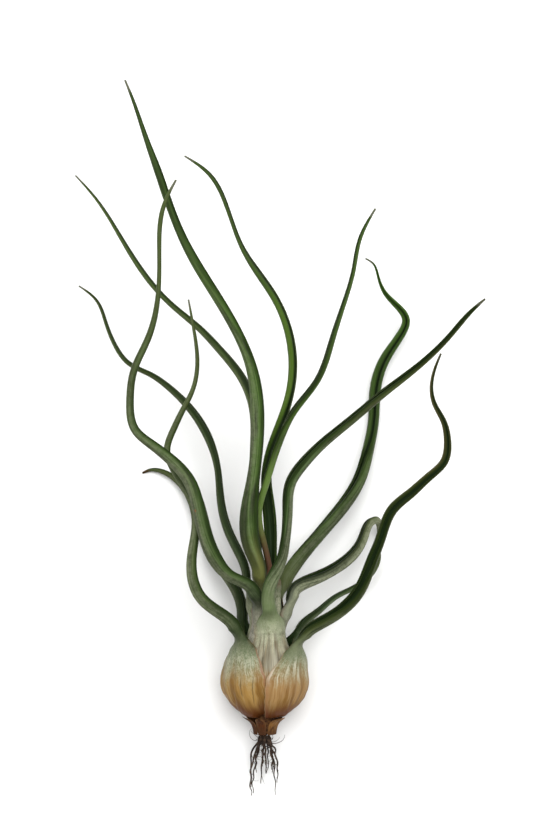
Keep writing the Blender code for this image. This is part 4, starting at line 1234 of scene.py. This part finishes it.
def laid_scale(number):
    """All rows of a scale, and what its finish needs to know."""
    azimuth, wrap, tip_height = SCALES[number]
    top = place_at_height(SCALE_PROFILE, tip_height)
    across = np.linspace(-1.0, 1.0, SCALE_COLUMNS + 1)
    torn = 0.10 + 0.10 * waves(across * 7.0, 60 + number, 5) + 0.07 * waves(across * 31.0, 70 + number, 4)
    points, facts = [], {"along_mm": [], "edge_mm": [], "across": [], "wall": []}
    for t in np.linspace(0.0, 1.0, SCALE_ROWS + 1):
        half = wrap * math.sqrt(max(0.05, 1.0 - t ** 3))
        places = top * t * (1.0 - np.clip(torn, 0.0, 0.3) * t * t)
        arc = SCALE_RADIUS * np.radians(half * across)
        narrow, wide = waves(arc * 6.0, 80 + number, 6), waves(arc * 1.8 + t, 90 + number, 4)
        fibres = 0.05 + 0.05 * narrow + 0.04 * wide
        edge = SCALE_RADIUS * math.radians(half) * (1.0 - np.abs(across))
        depths = fibres + 0.16 * (1.0 - ease(edge / 1.2))
        walls = np.minimum(SCALE_WALL, SCALE_EDGE_WALL + 0.35 * ease(edge / 2.0)) * (1.0 - 0.5 * t)
        points.append(scale_points(azimuth + half * across, places, depths))
        for name, values in (("along_mm", places), ("edge_mm", edge), ("across", across), ("wall", walls)):
            facts[name].append(values)
    return np.array(points), {name: np.array(values) for name, values in facts.items()}


print("mm from the foot of a scale to its tip:", round(place_at_height(SCALE_PROFILE, SCALES[0][2]), 1))

# %% Finish of the scales
# dark and light fibres of each scale
SCALE_TONES = [((0.036, 0.009, 0.002), (0.115, 0.038, 0.009)),
               ((0.110, 0.044, 0.010), (0.270, 0.135, 0.036)),
               ((0.034, 0.009, 0.002), (0.100, 0.034, 0.008)),
               ((0.050, 0.018, 0.005), (0.150, 0.066, 0.018)),
               ((0.046, 0.017, 0.005), (0.160, 0.072, 0.020))]
BLOTCH, TORN_EDGE, SCALE_FOOT = (0.035, 0.016, 0.008), (0.210, 0.105, 0.036), (0.040, 0.016, 0.006)


def dry_scale_finish(name, tones, number):
    f = Finish(name, 0.66, 0.10)
    fibres = f.lengthwise(16.0, 0.25, number * 3.1)
    blotches = f.noise(f.in_space(), 700.0, 3.0)
    colour = f.mix(f.span(fibres, 0.34, 0.68), *tones)
    colour = f.mix(f.span(blotches, 0.48, 0.72, 0.0, 0.7), colour, BLOTCH)
    colour = f.mix(f.span(f.fact("edge_mm"), 0.05, 0.45, 0.45, 0.0), colour, TORN_EDGE)
    f.shade("Base Color", f.mix(f.span(f.fact("along_mm"), 0.3, 5.5, 0.85, 0.0), colour, SCALE_FOOT))
    f.shade("Roughness", f.span(fibres, 0.3, 0.7, 0.78, 0.52))
    f.bump(fibres, 0.5, 0.10)
    return f.material


for number, tones in enumerate(SCALE_TONES):
    points, facts = laid_scale(number)
    walls = facts.pop("wall")
    sheet = shaped_sheet(f"dry_scale_{number + 1}", points, facts)
    dry = dry_scale_finish(f"dry_scale_{number + 1}", tones, number)
    give_wall(sheet, walls.ravel(), (dry, dry, dry))
    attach(sheet, "root")
    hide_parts(f"basal_scale_{number + 1}")
print("dry scales:", len(SCALE_TONES))

# %% [markdown]
# ## The short stem
#
# All leaves sit on one stem, hidden but for a ring at the very foot. It is turned up from a circle:
# extrude, move along the axis, scale, and again. Then it is laid along the axis of the plant, and
# its skin gets the scars where old leaves fell off.

# %% Shape of the stem
# radius and height in mm, from the foot up
STEM_OUTLINE = [(1.2, -20.95), (2.2, -20.75), (3.1, -20.1), (3.45, -19.5), (3.60, -19.0), (3.50, -18.4),
                (3.60, -17.7), (3.48, -17.0), (3.58, -16.2), (3.50, -15.2), (3.60, -14.0), (3.60, -12.0),
                (3.60, -6.5), (3.1, -3.6), (1.8, -1.6), (0.5, -1.05)]
STEM_SIDES = 48
bpy.ops.object.select_all(action="DESELECT")
bpy.ops.mesh.primitive_circle_add(vertices=STEM_SIDES, radius=STEM_OUTLINE[0][0] * MM, fill_type="NGON",
                                  location=(0.0, 0.0, STEM_OUTLINE[0][1] * MM))
stem = bpy.context.object
stem.name = "scarred_stem"
bpy.ops.object.mode_set(mode="EDIT")
bpy.ops.mesh.select_all(action="SELECT")
for (r_a, u_a), (r_b, u_b) in zip(STEM_OUTLINE, STEM_OUTLINE[1:]):
    bpy.ops.mesh.extrude_region_move(TRANSFORM_OT_translate={"value": (0.0, 0.0, (u_b - u_a) * MM)})
    bpy.ops.transform.resize(value=(r_b / r_a, r_b / r_a, 1.0), center_override=(0.0, 0.0, u_b * MM))
bpy.ops.mesh.select_all(action="SELECT")
bpy.ops.mesh.normals_make_consistent(inside=False)
bpy.ops.object.mode_set(mode="OBJECT")
bpy.ops.object.transform_apply(location=True, rotation=True, scale=True)
print("stem faces:", len(stem.data.polygons))

# %% Scars, and the place of the stem
SCAR_DEPTH = 0.02                   # share of the radius
upright = np.array([v.co for v in stem.data.vertices]) / MM
turn_angle = np.arctan2(upright[:, 0], -upright[:, 1])
ridges = waves(turn_angle * 5.0, 11)
scars = waves(upright[:, 2] * 4.0 + np.sin(turn_angle * 2.0), 12)
upright[:, :2] *= np.minimum(1.0 + SCAR_DEPTH * ridges + SCAR_DEPTH * scars, 1.0)[:, None]
standing = np.column_stack((upright[:, 0], upright[:, 2], -upright[:, 1]))
stem.data.vertices.foreach_set("co", laid_down(standing).astype(np.float32).ravel())
stem.data.update()
select_only(stem)
bpy.ops.object.shade_smooth_by_angle(angle=math.radians(50.0))
print("lowest point of the stem in mm:", round(min(v.co.z for v in stem.data.vertices) / MM, 1))


# %% Bark
def bark_finish(name, dark, light, grain):
    """Flaky bark; grain is how fine its flakes are."""
    f = Finish(name, 0.78, 0.15)
    flakes = f.noise(f.in_space(), grain, 4.0, 0.6)
    fine = f.noise(f.in_space(), grain * 4.0)
    colour = f.mix(f.span(flakes, 0.38, 0.66), dark, light)
    f.shade("Base Color", f.mix(f.span(fine, 0.5, 0.75, 0.0, 0.4), colour, light))
    f.shade("Roughness", f.span(flakes, 0.3, 0.7, 0.88, 0.62))
    f.bump(f.plus(flakes, fine), 0.6, 0.12)
    return f.material


stem.data.materials.append(bark_finish("stem_bark", (0.040, 0.015, 0.006), (0.150, 0.066, 0.022), 600.0))
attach(stem, "root")
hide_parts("stem")
print("finish of the stem:", stem.data.materials[0].name)

# %% [markdown]
# ## Roots
#
# A sky plant drinks with its leaves, and its few roots only hold on. They are dark, wiry and
# kinked. Each is one line of a curve object with a thickness that fades to its tip. The main ones
# run where the frame has them, and finer curly ones fill the tuft between them.

# %% One root
bpy.ops.object.select_all(action="DESELECT")
bpy.ops.curve.primitive_nurbs_path_add()
roots = bpy.context.object
roots.name = "wiry_roots"
roots.data.splines.clear()
roots.data.bevel_depth = MM
roots.data.bevel_resolution = 1
roots.data.use_fill_caps = True


def add_root(points, radii):
    """One root through points in mm of the standing plant; none goes under the surface."""
    line = roots.data.splines.new("POLY")
    line.points.add(len(points) - 1)
    places = laid_down(points)
    places[:, 2] = np.maximum(places[:, 2], np.array(radii) * MM)
    for spot, place, radius in zip(line.points, places, radii):
        spot.co = (*place, 1.0)
        spot.radius = radius


def kinks(count, size, seed):
    """Sideways kinks that grow from nothing at the start of a root."""
    t = np.linspace(0.0, 1.0, count)
    grow = np.minimum(1.0, t * 5.0)[:, None]
    waving = [waves(t * pace, seed + k, 4) for k, pace in enumerate((15.0, 9.0, 16.0))]
    return size * grow * np.column_stack(waving)


print("empty curve for the roots:", roots.name)

# %% Main roots
# They are drawn from the same seed, in the same order, as the ones in the frame.
ROOT_COUNT, ROOT_SEED = 15, 41
STUB_RADIUS, STUB_HEIGHT = 1.7, -22.4   # mm, the ring in which the roots start
ROOT_BENDS, ROOT_POINTS = 4, 26
ROOT_KINK = 0.34                    # mm
ROOT_SINK = 0.9                     # mm that a root starts inside the stub

main_roots = []
draw = random.Random(ROOT_SEED)
for number in range(ROOT_COUNT):
    azimuth = 2.0 * math.pi * (number + draw.uniform(-0.3, 0.3)) / ROOT_COUNT
    length, spread, radius = draw.uniform(11.0, 24.0), draw.uniform(0.15, 0.75), draw.uniform(0.36, 0.48)
    p = np.array([STUB_RADIUS * math.sin(azimuth), STUB_HEIGHT, STUB_RADIUS * math.cos(azimuth)])
    bends, heading = [p], azimuth
    for i in range(ROOT_BENDS):
        heading += draw.uniform(-0.7, 0.7)
        outward = spread * (1.15 - 0.35 * i)
        d = np.array([math.sin(heading) * outward, -1.0, math.cos(heading) * outward])
        p = p + d / np.linalg.norm(d) * length / ROOT_BENDS
        bends.append(p)
    line = Spline(bends)
    places = np.linspace(0.0, line.length * 0.985, ROOT_POINTS)
    points = np.array([line.at(t) for t in places]) + kinks(ROOT_POINTS, ROOT_KINK, 40 * number)
    points[0, 1] += ROOT_SINK
    main_roots.append(points)
    add_root(points, [radius * (0.95 - 0.62 * t ** 1.5) for t in np.linspace(0.0, 1.0, ROOT_POINTS)])
print("main roots:", len(main_roots))

# %% Fine roots
FINE_SEED = 5
FROM_STUB, FINE_COUNT = 30, 64      # the first ones grow from the stub, the others from main roots
FINE_STEPS = 13
LOWEST_TIP = -46.0                  # mm, a root that would reach further is left out


def turned_heading(heading, turn):
    """The new heading of a root, of length 1."""
    heading = heading + turn
    return heading / np.linalg.norm(heading)


fine = random.Random(FINE_SEED)
for number in range(FINE_COUNT):
    if number < FROM_STUB:
        a, r = fine.uniform(0.0, WHOLE_TURN), fine.uniform(0.4, 2.3)
        start = np.array([r * math.sin(a), fine.uniform(STUB_HEIGHT, STUB_HEIGHT + 1.0), r * math.cos(a)])
        right, front = math.sin(a) * fine.uniform(0.0, 0.6), math.cos(a) * fine.uniform(0.0, 0.6)
        heading = np.array([right, -1.0, front])
        length, radius = fine.uniform(4.0, 11.0), fine.uniform(0.12, 0.24)
    else:
        parent = main_roots[fine.randrange(ROOT_COUNT)]
        k = fine.randrange(5, 22)
        start = parent[k]
        side = np.array([fine.uniform(-1.0, 1.0) for _ in range(3)])
        heading = (parent[k + 1] - parent[k]) / 0.6 + side * 1.1
        length, radius = fine.uniform(2.0, 5.5), fine.uniform(0.07, 0.13)
    heading = heading / np.linalg.norm(heading)
    curl = np.array([fine.uniform(-1.0, 1.0) for _ in range(3)]) * fine.uniform(0.15, 0.45)
    points = [start]
    for _ in range(FINE_STEPS):
        waver = np.array([fine.uniform(-0.18, 0.18) for _ in range(3)])
        heading = turned_heading(heading, np.cross(curl, heading) + waver)
        points.append(points[-1] + heading * length / FINE_STEPS)
    points = np.array(points)
    if points[:, 1].min() > LOWEST_TIP:
        add_root(points, [radius * (1.0 - 0.7 * k / FINE_STEPS) for k in range(FINE_STEPS + 1)])
print("roots in all:", len(roots.data.splines))

# %% The tuft as one mesh
select_only(roots)
bpy.ops.object.convert(target="MESH")
roots = bpy.context.object
bpy.ops.object.transform_apply(location=True, rotation=True, scale=True)
bpy.ops.object.shade_smooth_by_angle(angle=math.radians(60.0))
roots.data.materials.append(bark_finish("root_bark", (0.010, 0.007, 0.005), (0.060, 0.036, 0.022), 900.0))
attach(roots, "root")
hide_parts("root_tuft")
print("root faces:", len(roots.data.polygons))

# %% [markdown]
# ## Size of the finished plant
#
# The finer leaves have to stay inside the box of the frame.
